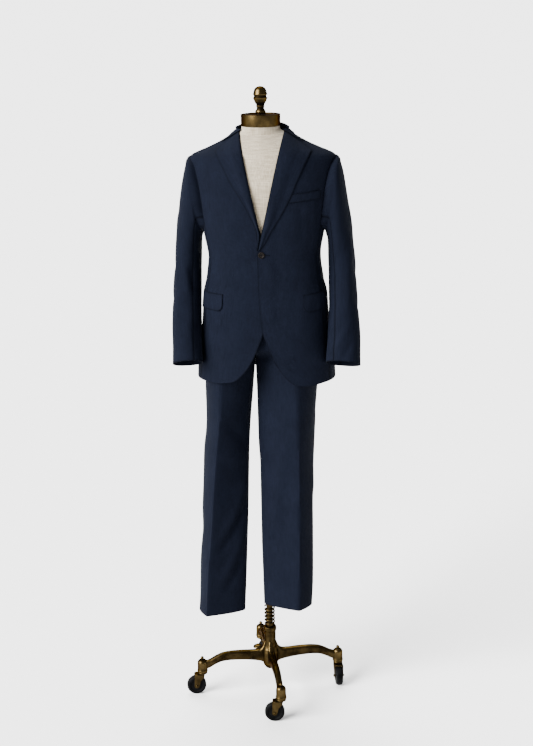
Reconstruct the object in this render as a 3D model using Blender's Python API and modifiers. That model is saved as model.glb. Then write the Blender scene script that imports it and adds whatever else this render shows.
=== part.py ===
"""A tailored two-piece suit, jacket and trousers, on a limbless dress form with a four-foot caster stand.

Metres, +Z up, floor at z = 0. The front faces -Y and +X is to the right seen from the front, which is the
wearer's left. The stand's pole is the Z axis.
"""

import math

import bpy
import numpy as np

# Driving dimensions
WALL = 0.0020  # cloth
TRIM_WALL = 0.0018  # lapels, collar, welt and flaps
GAP = 0.0004  # between pieces that touch
SEAM = 0.0003  # each side of a seam
CENTRE_X = 0.005  # the garment's centre line
YAW = math.radians(-4.5)  # the garment is turned a little on its stand
HEM_TILT = 0.05  # the wearer's right side hangs higher
TILT_FADE = (1.20, 0.28)  # the tilt fades out from here, over this height
HEM_RISE = {"height": 0.017, "start": 0.090, "span": 0.130}  # the left side's hem rises towards its seam
JACKET_HEM = 1.089
UNDERARM = 1.560
SIDE_SEAM_TOP = 1.588
SHOULDER_TIP = 1.793
NECK_SEAM = 1.866
FRONT_SEAM_ANGLE = 66.0  # degrees round the body from the centre front
BACK_SEAM_ANGLE = 118.0
BREAK_HEIGHT = 1.562  # where the two roll lines cross
ROLL_SLOPE = 0.222  # sideways travel of the roll line for each metre up
CLOSING_EDGE = -0.013  # a closed front's edge, past the centre line
OVERLAP_LIFT = 0.0030  # the wearer's left front lies over the right one
OVERLAP_FADE = (0.020, 0.030)  # the lift fades out from this x, over this width
ARMHOLE_FADE = 1.42  # rows below the armhole dip towards it from here
SHOULDER_EASE = 1.773  # the armhole turns in towards the shoulder tip from here
SLEEVE_POWER = 2.15  # roundness of a sleeve's sections
BUTTON_HEIGHT = 1.505
FORK = 1.150
FORK_BLEND = 0.055  # height over which the two legs open into the seat
SEAT_POWER = 2.4  # roundness of the trousers above the fork
BACK_CREASE = 0.45  # share of the front crease's offset, on the other side of the leg's middle
WAIST_SEAM = 1.345
WAIST_TOP = 1.385
FORM_BOTTOM = 1.205
FORM_CLEARANCE = 0.0014  # between the form's shoulders and the jacket's inside
NECK_RADIUS = 0.0585
CAP_RADIUS = 0.060
CAP_HEIGHT = (1.8795, 1.914)
POLE_RADIUS = 0.011
POLE_BOTTOM = 0.082
HUB_RADIUS = 0.0275
BORE_RADIUS = 0.0117
FOOT_RADIUS = 0.230  # caster stem from the pole
FOOT_TURN = math.radians(8.0)
WHEEL_RADIUS = 0.032
WHEEL_WIDTH = 0.022
TRAIL = 0.021

# Level sections of the jacket's outer surface: half width, depth in front and behind, roundness
JACKET = (
    ("z", "half_width", "front", "back", "power"),
    (1.070, 0.2190, 0.1310, 0.1400, 2.50),
    (1.137, 0.2160, 0.1290, 0.1380, 2.50),
    (1.200, 0.2055, 0.1270, 0.1350, 2.50),
    (1.300, 0.1965, 0.1240, 0.1240, 2.50),
    (1.360, 0.1935, 0.1220, 0.1130, 2.50),
    (1.417, 0.1820, 0.1210, 0.1040, 2.50),
    (1.487, 0.1750, 0.1230, 0.1010, 2.50),
    (1.545, 0.1840, 0.1295, 0.1080, 2.50),
    (1.600, 0.1940, 0.1345, 0.1170, 2.45),
    (1.650, 0.2060, 0.1345, 0.1200, 2.35),
    (1.700, 0.2160, 0.1310, 0.1180, 2.25),
    (1.750, 0.2225, 0.1220, 0.1120, 2.05),
    (1.780, 0.2235, 0.1140, 0.1070, 1.90),
    (1.793, 0.2195, 0.1090, 0.1040, 1.80),
    (1.801, 0.2060, 0.1050, 0.1015, 1.74),
    (1.814, 0.1750, 0.0980, 0.0970, 1.65),
    (1.833, 0.1340, 0.0850, 0.0900, 1.55),
    (1.852, 0.1010, 0.0660, 0.0800, 1.50),
    (1.874, 0.0680, 0.0300, 0.0660, 1.45),
)
JACKET_ROWS = (
    JACKET_HEM, 1.099, 1.115, 1.140, 1.170, 1.205, 1.245, 1.290, 1.340, 1.390, 1.440, 1.490, 1.540,
    SIDE_SEAM_TOP, 1.612, 1.642, 1.676, 1.711, 1.745, 1.773,
    SHOULDER_TIP, 1.804, 1.817, 1.834, 1.851, NECK_SEAM,
)
# Distance of the front edge past the centre line, from the hem's cutaway up to the roll line
FRONT_EDGE = (
    ("z", "x"),
    (1.089, 0.1500), (1.093, 0.1260), (1.099, 0.0980), (1.109, 0.0820), (1.132, 0.0600), (1.168, 0.0360),
    (1.2115, 0.0170), (1.259, 0.0000), (1.320, -0.0080), (1.400, -0.0120), (1.505, -0.0130),
)
# Where the armhole seam runs on the front and on the back
ARMHOLE = (
    ("z", "front_x", "back_x"),
    (1.588, 0.1765, 0.1740),
    (1.612, 0.1800, 0.1780),
    (1.650, 0.1845, 0.1840),
    (1.690, 0.1895, 0.1900),
    (1.724, 0.1960, 0.1965),
    (1.760, 0.2065, 0.2075),
    (1.780, 0.2160, 0.2165),
)
# A sleeve's rings: outer and inner points of the tube, half depth, depth of the middle, forward tilt
SLEEVE = (
    ("outer_x", "outer_z", "inner_x", "inner_z", "depth", "middle_y", "tilt"),
    (0.2325, 1.7790, 0.1900, 1.5565, 0.0800, 0.002, 0.0),
    (0.2435, 1.7430, 0.1925, 1.5500, 0.0830, 0.003, 0.0),
    (0.2525, 1.6950, 0.1945, 1.5400, 0.0810, 0.004, 0.0),
    (0.2615, 1.6400, 0.1955, 1.5250, 0.0770, 0.005, 0.0),
    (0.2695, 1.5800, 0.1965, 1.5050, 0.0730, 0.005, 0.0),
    (0.2765, 1.5150, 0.1970, 1.4750, 0.0700, 0.003, 2.0),
    (0.2835, 1.4350, 0.1980, 1.4200, 0.0660, -0.004, 6.0),
    (0.2880, 1.3600, 0.1985, 1.3550, 0.0620, -0.019, 12.0),
    (0.2910, 1.2800, 0.1975, 1.2800, 0.0570, -0.043, 18.0),
    (0.2920, 1.2180, 0.1955, 1.2200, 0.0520, -0.067, 22.0),
    (0.2920, 1.1530, 0.1915, 1.1610, 0.0480, -0.093, 24.0),
)
SLEEVE_REACH = {"right": -0.005, "left": 0.007}  # how much wider each sleeve is at its cuff
# Outer edge of each lapel, bottom to notch, with the point on the roll line it is joined to
LAPEL = (
    ("roll_z", "edge_z", "right_x", "left_x"),
    (1.5180, 1.5200, 0.0070, -0.0050),
    (1.5300, 1.5330, 0.0100, 0.0060),
    (1.5700, 1.5740, 0.0140, 0.0290),
    (1.6300, 1.6280, 0.0360, 0.0630),
    (1.6800, 1.6740, 0.0610, 0.0880),
    (1.7400, 1.7210, 0.0910, 0.1080),
    (1.7850, 1.7610, 0.1120, 0.1260),
    (1.8280, 1.8080, 0.1400, 0.1500),
    (1.8450, 1.8180, 0.1280, 0.1345),
    (1.8620, 1.8290, 0.1150, 0.1180),
)
# Half of the collar from the centre back to the notch: foot of the stand, stand height, edge of the fall
COLLAR = (
    ("foot_angle", "foot_z", "stand", "fold_out", "edge_angle", "edge_z"),
    (180.0, 1.8685, 0.0185, 0.0050, 180.0, 1.8430),
    (155.0, 1.8685, 0.0180, 0.0050, 157.0, 1.8435),
    (130.0, 1.8690, 0.0150, 0.0050, 133.0, 1.8465),
    (105.0, 1.8690, 0.0095, 0.0052, 108.0, 1.8530),
    (86.0, 1.8680, 0.0055, 0.0055, 88.0, 1.8570),
    (70.0, 1.8674, 0.0045, 0.0050, 76.0, 1.8480),
    (55.0, 1.8668, 0.0030, 0.0035, 73.6, 1.8335),
)
COLLAR_SAG = {"start": 0.80, "drop": 0.009}  # the front end bends down along the lapel before the notch
WELT = {"clear": 0.0015, "end": 0.177, "z": 1.661, "rise": 0.008, "height": 0.026}
FLAP = {"start": 35.0, "end": 75.0, "top": 1.377, "depth": 0.055, "corner": 0.020, "per_degree": 0.0031}
# Each trouser leg below the fork: both edges, the front crease, the depth on each side of the middle, and
# how flat its panels are pressed between the crease and the edges
LEG_RIGHT = (
    ("z", "outer", "inner", "crease", "depth", "middle_y", "flat"),
    (0.284, -0.2400, -0.0850, -0.2080, 0.0640, -0.002, 0.60),
    (0.427, -0.2320, -0.0775, -0.1990, 0.0690, 0.000, 0.58),
    (0.546, -0.2255, -0.0720, -0.1860, 0.0740, 0.002, 0.56),
    (0.662, -0.2180, -0.0670, -0.1760, 0.0790, 0.003, 0.52),
    (0.834, -0.2070, -0.0615, -0.1600, 0.0890, 0.004, 0.44),
    (0.948, -0.1980, -0.0540, -0.1470, 0.0970, 0.004, 0.36),
    (1.050, -0.1960, -0.0440, -0.1410, 0.1010, 0.003, 0.26),
    (1.150, -0.1930, -0.0353, -0.1380, 0.1050, 0.000, 0.10),
)
LEG_LEFT = (
    ("z", "outer", "inner", "crease", "depth", "middle_y", "flat"),
    (0.308, 0.1370, -0.0230, 0.0980, 0.0620, -0.002, 0.60),
    (0.422, 0.1410, -0.0250, 0.1000, 0.0680, 0.000, 0.58),
    (0.542, 0.1440, -0.0270, 0.1020, 0.0740, 0.002, 0.56),
    (0.658, 0.1460, -0.0270, 0.1030, 0.0790, 0.003, 0.52),
    (0.790, 0.1460, -0.0270, 0.1045, 0.0870, 0.004, 0.46),
    (0.884, 0.1490, -0.0310, 0.1050, 0.0930, 0.004, 0.40),
    (1.031, 0.1590, -0.0325, 0.1010, 0.1010, 0.003, 0.30),
    (1.150, 0.1710, -0.0347, 0.0980, 0.1050, 0.000, 0.10),
)
# The trousers above the fork: both sides, the middle seam and the depths
SEAT = (
    ("z", "right", "left", "middle", "front", "back"),
    (1.150, -0.1930, 0.1710, -0.0350, 0.1080, 0.1130),
    (1.200, -0.1900, 0.1750, -0.0310, 0.1100, 0.1180),
    (1.270, -0.1800, 0.1720, -0.0160, 0.1090, 0.1140),
    (1.345, -0.1575, 0.1575, 0.0000, 0.1005, 0.0985),
    (1.390, -0.1565, 0.1565, 0.0000, 0.1000, 0.0970),
)
TROUSER_ROWS = (0.36, 0.43, 0.50, 0.58, 0.66, 0.74, 0.82, 0.90, 0.98, 1.05, 1.10, 1.13, FORK,
                1.160, 1.172, 1.186, 1.205, 1.240, 1.280, 1.315, WAIST_SEAM)
# The form below the shoulders
FORM = (
    ("z", "half_width", "front", "back", "power"),
    (FORM_BOTTOM, 0.1580, 0.0900, 0.0980, 2.3),
    (1.225, 0.1640, 0.0950, 0.1030, 2.3),
    (1.280, 0.1640, 0.0970, 0.1030, 2.3),
    (1.320, 0.1560, 0.0970, 0.0960, 2.4),
    (1.347, 0.1544, 0.0974, 0.0953, 2.4),
    (1.383, 0.1536, 0.0970, 0.0943, 2.4),
    (1.410, 0.1500, 0.0960, 0.0900, 2.4),
    (1.460, 0.1500, 0.0990, 0.0860, 2.4),
    (1.540, 0.1600, 0.1130, 0.0940, 2.4),
    (1.620, 0.1720, 0.1240, 0.1080, 2.4),
    (1.700, 0.1800, 0.1240, 0.1120, 2.3),
    (1.760, 0.1840, 0.1140, 0.1060, 2.1),
    (1.795, 0.1800, 0.1020, 0.0980, 1.85),
)
FORM_SHOULDER_ROWS = (1.814, 1.830, 1.846, 1.860)
# Turned finial on the cap and the stand's turned parts: radius and height, top to bottom
FINIAL = ((0.0, 1.9970), (0.0080, 1.9962), (0.0150, 1.9925), (0.0195, 1.9865), (0.0215, 1.9790),
          (0.0220, 1.9730), (0.0200, 1.9690), (0.0190, 1.9665), (0.0205, 1.9640), (0.0220, 1.9600),
          (0.0195, 1.9520), (0.0150, 1.9440), (0.0130, 1.9380), (0.0130, 1.9250), (0.0160, 1.9230),
          (0.0160, 1.9145), (0.0, 1.9145))
BELL = ((0.0, 0.1330), (0.0045, 0.1310), (0.0058, 0.1270), (0.0046, 0.1235), (0.0100, 0.1215),
        (0.0155, 0.1150), (0.0165, 0.0850), (0.0175, 0.0830), (0.0175, 0.0780), (0.0, 0.0780))
HUB = ((BORE_RADIUS, 0.2250), (0.0205, 0.2250), (0.0215, 0.2220), (0.0215, 0.2130), (0.0190, 0.2090),
       (0.0190, 0.1600), (0.0250, 0.1500), (HUB_RADIUS, 0.1400), (HUB_RADIUS, 0.1020), (0.0250, 0.0900),
       (0.0190, 0.0800), (0.0160, 0.0750), (BORE_RADIUS, 0.0750))
BELL_RADIUS = 0.0165
# Each arm of the stand: distance from the pole, height of the middle, height and width of the section
ARM = (
    ("r", "z", "height", "width"),
    (0.0000, 0.120, 0.038, 0.028),
    (0.0300, 0.1215, 0.037, 0.027),
    (0.0800, 0.1260, 0.034, 0.024),
    (0.1300, 0.1285, 0.031, 0.022),
    (0.1650, 0.1250, 0.029, 0.021),
    (0.1950, 0.1130, 0.028, 0.021),
    (0.2115, 0.1030, 0.028, 0.020),
)
# Direction in which each caster trails: front, right, back and left foot, degrees from +X
CASTER_TRAIL = {"front": 178.0, "right": -84.0, "back": 20.0, "left": 186.0}
FOOT_AZIMUTH = {"front": -90.0, "right": 0.0, "back": 90.0, "left": 180.0}
# A caster's fork: the stem under the bell, the plate, the cheeks beside the wheel and the axle
FORK_PARTS = {"stem_radius": 0.0150, "stem_bottom": 0.0700, "bell_bottom": 0.0780, "plate": (0.034, 0.005),
              "plate_z": 0.0695, "plate_edge": 0.0025, "cheek": (0.017, 0.0025, 0.048), "cheek_z": 0.0475,
              "cheek_along": 0.80, "wheel_gap": 0.0015, "axle_radius": 0.0030, "axle_end": 0.0040}
WHEEL = {"bore": 0.0034, "edge": 0.0030, "steps": 24}
SPRING = {"radius": 0.0152, "wire": 0.0028, "pitch": 0.0125, "bottom": 0.2283, "turns": 5.5}
PEDAL = {"azimuth": 143.0, "start": 0.0298, "pad_centre": (-0.042, 0.062), "z": 0.118,
         "width": 0.008, "thick": 0.005, "pad": (0.034, 0.026, 0.006), "pad_lift": 0.002}

SIDES = {"right": -1.0, "left": 1.0}
SHARP_ANGLE = math.radians(45.0)


def smooth(x, xs, ys):
    """Reads a table at x by a cubic curve that never overshoots its points."""
    xs, ys = np.asarray(xs, float), np.asarray(ys, float)
    step = np.diff(xs)
    slope = np.diff(ys) / step
    tangent = np.empty_like(ys)
    tangent[0], tangent[-1] = slope[0], slope[-1]
    product = slope[:-1] * slope[1:]
    total = np.where(product > 0, slope[:-1] + slope[1:], 1.0)
    tangent[1:-1] = np.where(product > 0, 2.0 * product / total, 0.0)
    x = np.clip(x, xs[0], xs[-1])
    i = np.clip(np.searchsorted(xs, x, side="right") - 1, 0, len(step) - 1)
    t = (x - xs[i]) / step[i]
    return (ys[i] * (1 + 2 * t) * (1 - t) ** 2 + ys[i + 1] * t * t * (3 - 2 * t)
            + step[i] * (tangent[i] * t * (1 - t) ** 2 + tangent[i + 1] * t * t * (t - 1)))


def column(table, name):
    place = table[0].index(name)
    return np.array([row[place] for row in table[1:]])


def read(table, name, at, key="z"):
    return smooth(at, column(table, key), column(table, name))


def ease(t):
    """0 below 0, 1 above 1, and a smooth step between."""
    t = np.clip(t, 0.0, 1.0)
    return t * t * (3.0 - 2.0 * t)


def in_place(points):
    """Garment points turned by the yaw and moved to the garment's centre line."""
    x, y, z = np.moveaxis(points, -1, 0)
    c, s = math.cos(YAW), math.sin(YAW)
    return np.stack([CENTRE_X + c * x - s * y, s * x + c * y, z], -1)


def tilted(points):
    """Garment points with the skirt's tilt, which fades out at the waist."""
    fade = 1.0 - ease((points[..., 2] - TILT_FADE[0]) / TILT_FADE[1])
    rise = HEM_RISE["height"] * ease((points[..., 0] - HEM_RISE["start"]) / HEM_RISE["span"])
    moved = points.copy()
    moved[..., 2] += fade * (rise - HEM_TILT * points[..., 0])
    return moved


def section(table, angle, z):
    """A level section's point: angle in degrees from the centre front towards +X."""
    s, c = np.sin(np.radians(angle)), np.cos(np.radians(angle))
    power = 2.0 / read(table, "power", z)
    depth = np.where(c > 0, -read(table, "front", z), read(table, "back", z))
    return np.stack([
        read(table, "half_width", z) * np.sign(s) * np.abs(s) ** power,
        depth * np.abs(c) ** power,
        z + 0.0 * s,
    ], -1)


def outward(table, angle, z):
    """Unit normals of the surface that the sections make."""
    around = section(table, angle + 3.0, z) - section(table, angle - 3.0, z)
    up = section(table, angle, z + 0.003) - section(table, angle, z - 0.003)
    normal = np.cross(around, up)
    return normal / np.linalg.norm(normal, axis=-1, keepdims=True)


def body(angle, z, out=0.0):
    """The jacket's outer surface, moved out by a distance."""
    angle, z = np.broadcast_arrays(np.asarray(angle, float), np.asarray(z, float))
    out = np.broadcast_to(out, angle.shape)
    return section(JACKET, angle, z) + outward(JACKET, angle, z) * out[..., None]


def angle_at(x, z):
    """The angle round the jacket at which its front is x from the centre line."""
    share = np.clip(np.abs(x) / read(JACKET, "half_width", z), 0.0, 1.0)
    return np.degrees(np.arcsin(share ** (read(JACKET, "power", z) / 2.0))) * np.sign(x)


def overlap_lift(side, x):
    """How far the wearer's left front stands out over the right one, near the centre."""
    return OVERLAP_LIFT * (1.0 - ease((x - OVERLAP_FADE[0]) / OVERLAP_FADE[1])) if side == "left" else 0.0 * x


def roll_line(z):
    return (z - BREAK_HEIGHT) * ROLL_SLOPE


def front_edge(z):
    """Distance of a front's free edge past the centre line: cutaway, closing edge, roll line."""
    below = read(FRONT_EDGE, "x", z)
    above = np.maximum(roll_line(z), CLOSING_EDGE)
    return np.where(z > BUTTON_HEIGHT, above, below)


def armhole_angle(z, which):
    """Angle of the armhole seam at a height, on the front or the back."""
    x = read(ARMHOLE, which + "_x", z)
    angle = angle_at(x, z)
    top = ease((z - SHOULDER_EASE) / (SHOULDER_TIP - SHOULDER_EASE))
    angle = angle + (90.0 - angle) * top
    return angle if which == "front" else 180.0 - angle


def narrowed(grid):
    """A grid whose outer columns are drawn in by half a seam's gap."""
    grid = grid.copy()
    for edge, inside in ((0, 1), (-1, -2)):
        way = grid[:, inside] - grid[:, edge]
        length = np.maximum(np.linalg.norm(way, axis=-1, keepdims=True), 1e-6)
        grid[:, edge] += way / length * np.minimum(SEAM, 0.3 * length)
    return grid


def grid_normals(points):
    """Unit normals of an open grid, columns round and rows along, pointing to around x along."""
    around = np.gradient(points, axis=1)
    along = np.gradient(points, axis=0)
    normal = np.cross(around, along)
    return normal / np.maximum(np.linalg.norm(normal, axis=-1, keepdims=True), 1e-9)


def new_object(name, vertices, faces, material):
    mesh = bpy.data.meshes.new(name)
    mesh.from_pydata([tuple(map(float, v)) for v in vertices], [], [tuple(map(int, f)) for f in faces])
    mesh.update()
    mesh.shade_smooth()
    mesh.set_sharp_from_angle(angle=SHARP_ANGLE)
    mesh.materials.append(material)
    thing = bpy.data.objects.new(name, mesh)
    parts.objects.link(thing)
    return thing


def wall(name, outer, inner, material):
    """One closed wall between an outer and an inner grid, with a rim all round."""
    rows, columns = outer.shape[:2]
    count = rows * columns
    index = np.arange(count).reshape(rows, columns)
    skin = np.stack([index[:-1, :-1], index[:-1, 1:], index[1:, 1:], index[1:, :-1]], -1).reshape(-1, 4)
    loop = np.concatenate([index[0, :-1], index[:-1, -1], index[-1, :0:-1], index[:0:-1, 0]])
    after = np.roll(loop, -1)
    rim = np.stack([after, loop, loop + count, after + count], -1)
    faces = np.concatenate([skin, skin[:, ::-1] + count, rim])
    points = np.concatenate([outer.reshape(-1, 3), inner.reshape(-1, 3)])
    return new_object(name, points, faces, material)


def loft(name, rings, material):
    """A closed solid through rings of points, with flat ends."""
    rings = np.asarray(rings)
    rows, columns = rings.shape[:2]
    index = np.arange(rows * columns).reshape(rows, columns)
    after = np.roll(index, -1, axis=1)
    sides = np.stack([index[:-1], after[:-1], after[1:], index[1:]], -1).reshape(-1, 4)
    faces = [tuple(f) for f in sides] + [tuple(index[0, ::-1]), tuple(index[-1])]
    return new_object(name, rings.reshape(-1, 3), faces, material)


def make_material(name, colour, roughness, metallic=0.0):
    made = bpy.data.materials.new(name)
    made.use_nodes = True
    shader = made.node_tree.nodes["Principled BSDF"]
    shader.inputs["Base Color"].default_value = (*colour, 1.0)
    shader.inputs["Roughness"].default_value = roughness
    shader.inputs["Metallic"].default_value = metallic
    made.diffuse_color = (*colour, 1.0)
    return made


def cloth(name):
    return make_material(name + "_navy_worsted", (0.020, 0.030, 0.062), 0.82)


def brass(name):
    return make_material(name + "_antique_brass", (0.34, 0.22, 0.10), 0.42, 1.0)


def front_panel(side):
    """A front from the hem to the shoulder seam, cut by its front edge, side seam and armhole."""
    sign = SIDES[side]
    z = np.array(JACKET_ROWS)
    inner_edge = angle_at(front_edge(z), z)
    outer_edge = np.where(z <= SIDE_SEAM_TOP, FRONT_SEAM_ANGLE, armhole_angle(z, "front"))
    outer_edge = np.where(z >= SHOULDER_TIP, 90.0, outer_edge)
    share = np.linspace(0.0, 1.0, 8) ** 1.1
    angle = inner_edge[:, None] + (outer_edge - inner_edge)[:, None] * share
    level = np.repeat(z[:, None], len(share), axis=1)
    if sign < 0:
        angle, level = -angle[:, ::-1], level[:, ::-1]
    lift = overlap_lift(side, body(angle, level)[..., 0])
    outer, inner = (narrowed(tilted(body(angle, level, lift - d))) for d in (0.0, WALL))
    return wall("jacket_front_" + side, in_place(outer), in_place(inner), cloth("jacket_front_" + side))


def underarm_drop(angle):
    """How far the armhole dips below the side seams between them."""
    middle = 0.5 * (FRONT_SEAM_ANGLE + BACK_SEAM_ANGLE)
    half = 0.5 * (BACK_SEAM_ANGLE - FRONT_SEAM_ANGLE)
    return (SIDE_SEAM_TOP - UNDERARM) * (1.0 - ((angle - middle) / half) ** 2)


def side_grid():
    z = np.array([row for row in JACKET_ROWS if row <= SIDE_SEAM_TOP])
    angle = np.linspace(FRONT_SEAM_ANGLE, BACK_SEAM_ANGLE, 5)
    weight = ease((z - ARMHOLE_FADE) / (SIDE_SEAM_TOP - ARMHOLE_FADE))
    level = z[:, None] - weight[:, None] * underarm_drop(angle)
    return np.repeat(angle[None], len(z), axis=0), level


def side_panel(side):
    """The panel under the arm, whose top is the bottom of the armhole."""
    angle, level = side_grid()
    if SIDES[side] < 0:
        angle, level = -angle[:, ::-1], level[:, ::-1]
    outer, inner = (narrowed(tilted(body(angle, level, -d))) for d in (0.0, WALL))
    return wall("jacket_side_" + side, in_place(outer), in_place(inner), cloth("jacket_side_" + side))


def back_panel(side):
    """Half of the back, from the centre back seam to the side seam, armhole and shoulder."""
    z = np.array(JACKET_ROWS)
    edge = np.where(z <= SIDE_SEAM_TOP, BACK_SEAM_ANGLE, armhole_angle(z, "back"))
    edge = np.where(z >= SHOULDER_TIP, 90.0, edge)
    share = np.linspace(0.0, 1.0, 7)
    angle = edge[:, None] + (180.0 - edge)[:, None] * share
    level = np.repeat(z[:, None], len(share), axis=1)
    if SIDES[side] < 0:
        angle, level = -angle[:, ::-1], level[:, ::-1]
    outer, inner = (narrowed(tilted(body(angle, level, -d))) for d in (0.0, WALL))
    return wall("jacket_back_" + side, in_place(outer), in_place(inner), cloth("jacket_back_" + side))


def armhole_loop():
    """The armhole's points from the shoulder tip down the front, under the arm and up the back."""
    z = np.array([row for row in JACKET_ROWS if SIDE_SEAM_TOP <= row <= SHOULDER_TIP])
    side_angle, side_level = side_grid()
    angle = np.concatenate([armhole_angle(z[:0:-1], "front"), side_angle[-1], armhole_angle(z[1:-1], "back")])
    level = np.concatenate([z[:0:-1], side_level[-1], z[1:-1]])
    return body(angle, level)


def sleeve_rings(side):
    """Rings of a sleeve on the left, the first along the armhole, with a point for each of its points."""
    start = armhole_loop()
    middle = np.array([0.0, 0.0, 0.5 * (UNDERARM + SHOULDER_TIP)])
    round_angle = np.unwrap(np.arctan2(-start[:, 1] / 0.072, (start[:, 2] - middle[2]) / 0.117))
    even = np.linspace(0.0, 2.0 * math.pi, len(start), endpoint=False)
    first = start.copy()
    first[:, 0] += GAP
    rings = [first]
    count = len(SLEEVE) - 1
    for number, row in enumerate(SLEEVE[1:]):
        value = dict(zip(SLEEVE[0], row))
        share = (number + 1) / count
        turn = round_angle + (even - round_angle) * ease(share * 1.6)
        c, s = np.cos(turn), np.sin(turn)
        power = 2.0 / SLEEVE_POWER
        across = np.sign(c) * np.abs(c) ** power
        deep = np.sign(s) * np.abs(s) ** power
        tilt = math.radians(value["tilt"])
        mid_x = 0.5 * (value["outer_x"] + value["inner_x"])
        mid_z = 0.5 * (value["outer_z"] + value["inner_z"])
        half_x = 0.5 * (value["outer_x"] - value["inner_x"])
        half_z = 0.5 * (value["outer_z"] - value["inner_z"])
        widened = 0.5 * SLEEVE_REACH[side] * ease((1.40 - mid_z) / 0.25)
        mid_x, half_x = mid_x + widened, half_x + widened
        rings.append(np.stack([
            mid_x + across * half_x,
            value["middle_y"] - deep * value["depth"] * math.cos(tilt),
            mid_z + across * half_z + deep * value["depth"] * math.sin(tilt),
        ], -1))
    return np.array(rings)


def sleeve(side):
    """The upper and under sleeve, cut from one tube along the front and back seams."""
    rings = sleeve_rings(side)
    padded = np.concatenate([rings[:, -1:], rings, rings[:, :1]], axis=1)
    normal = grid_normals(padded)[:, 1:-1]
    inside = rings - normal * WALL
    if np.sum(normal[5, 0] * np.array([1.0, 0.0, 0.0])) < 0:
        inside = rings + normal * WALL
    total = rings.shape[1]
    front_seam, back_seam = 6, total - 5
    order = {"upper": list(range(back_seam, total)) + list(range(0, front_seam + 1)),
             "under": list(range(front_seam, back_seam + 1))}
    made = []
    for kind, columns in order.items():
        outer, inner = rings[:, columns], inside[:, columns]
        if SIDES[side] < 0:
            outer, inner = (g[::-1] * np.array([-1.0, 1.0, 1.0]) for g in (outer, inner))
        outer, inner = (in_place(narrowed(g)) for g in (outer, inner))
        name = f"sleeve_{kind}_{side}"
        made.append(wall(name, outer, inner, cloth(name)))
    return made


def lapel_out(share, z):
    """How far a lapel stands off the front, from its roll line to its edge, and more on the shoulder."""
    rise = np.sin(math.pi * np.clip(share / 0.7, 0.0, 1.0)) ** 1.5 * (1.0 - 0.75 * ease((z - 1.79) / 0.05))
    return GAP + 0.0014 * ease((z - 1.70) / 0.08) + 0.0038 * rise * (1.0 - 0.3 * share)


def lapel(side):
    """A lapel turned back over its front."""
    sign = SIDES[side]
    roll_z = np.linspace(LAPEL[1][0], LAPEL[-1][0], 15)
    roll_z = np.sort(np.append(roll_z[(np.abs(roll_z - LAPEL[8][0]) > 0.008)], LAPEL[8][0]))
    edge_z = read(LAPEL, "edge_z", roll_z, "roll_z")
    edge_x = read(LAPEL, side + "_x", roll_z, "roll_z")
    start_x = roll_line(roll_z) + 0.0006
    if side == "right":
        start_x = np.abs(roll_line(roll_z)) + np.where(roll_z < BREAK_HEIGHT + 0.004, 0.0026, 0.0010)
        edge_x = np.maximum(edge_x, start_x + 0.002)
    share = np.linspace(0.0, 1.0, 5)
    x = start_x[:, None] + (edge_x - start_x)[:, None] * share
    z = roll_z[:, None] + (edge_z - roll_z)[:, None] * share
    out = overlap_lift(side, x) + lapel_out(share, z)
    angle = angle_at(x, z) * sign
    if sign < 0:
        angle, z, out = (g[:, ::-1] for g in (angle, z, out))
    outer, inner = (in_place(tilted(body(angle, z, out + d))) for d in (TRIM_WALL, 0.0))
    name = "lapel_" + side
    return wall(name, outer, inner, cloth(name))


def collar_profile(share, sign):
    """A section of the collar: up the stand, over the fold and down the fall."""
    value = {name: smooth(share, np.linspace(0.0, 1.0, len(COLLAR) - 1), column(COLLAR, name))
             for name in COLLAR[0]}
    foot = body(sign * value["foot_angle"], value["foot_z"], 0.0)
    out = outward(JACKET, np.array(sign * value["foot_angle"]), np.array(value["foot_z"]))
    out[2] = 0.0
    out /= np.linalg.norm(out)
    fold = foot + out * value["fold_out"] + np.array([0.0, 0.0, value["stand"]])
    lift = GAP + TRIM_WALL + 0.0008
    edge = body(sign * value["edge_angle"], value["edge_z"], lift)
    points = [foot, foot * 0.45 + (fold - out * value["fold_out"] * 0.9) * 0.55,
              fold - out * value["fold_out"] * 0.55 - np.array([0.0, 0.0, 0.0004]), fold]
    bulge = out * 0.0035 + np.array([0.0, 0.0, 0.0030])
    steep = ease((value["stand"] - 0.006) / 0.010)
    sag = COLLAR_SAG["drop"] * ease((share - COLLAR_SAG["start"]) / (1.0 - COLLAR_SAG["start"]))
    for t in (0.25, 0.5, 0.75, 1.0):
        hanging = fold + (edge - fold) * t + bulge * math.sin(math.pi * t)
        angle = value["foot_angle"] + (value["edge_angle"] - value["foot_angle"]) * t
        z = fold[2] + (value["edge_z"] - fold[2]) * t - sag * t ** 1.5 * (1.0 - t ** 8)
        lying = body(sign * angle, z, lift + 0.0025 * (1.0 - t))
        points.append(hanging * steep + lying * (1.0 - steep))
    return np.array(points)


def collar():
    """The turned-down collar round the back of the neck to both notches."""
    shares = np.concatenate([np.linspace(1.0, 0.0, 11), np.linspace(0.0, 1.0, 11)[1:]])
    signs = [-1.0] * 11 + [1.0] * 10
    grid = np.array([collar_profile(share, sign) for share, sign in zip(shares, signs)])
    normal = grid_normals(grid)
    if normal[10, -2, 1] < 0:
        normal = -normal
    inner = grid - normal * TRIM_WALL
    outer = np.swapaxes(grid, 0, 1)
    inner = np.swapaxes(inner, 0, 1)
    return wall("collar", in_place(outer), in_place(inner), cloth("collar"))


def patch(name, angle, z, out, material):
    """A piece that lies on the jacket, made from the jacket's points moved out."""
    outer, inner = (in_place(tilted(body(angle, z, out + d))) for d in (TRIM_WALL, 0.0))
    return wall(name, outer, inner, material)


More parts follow.
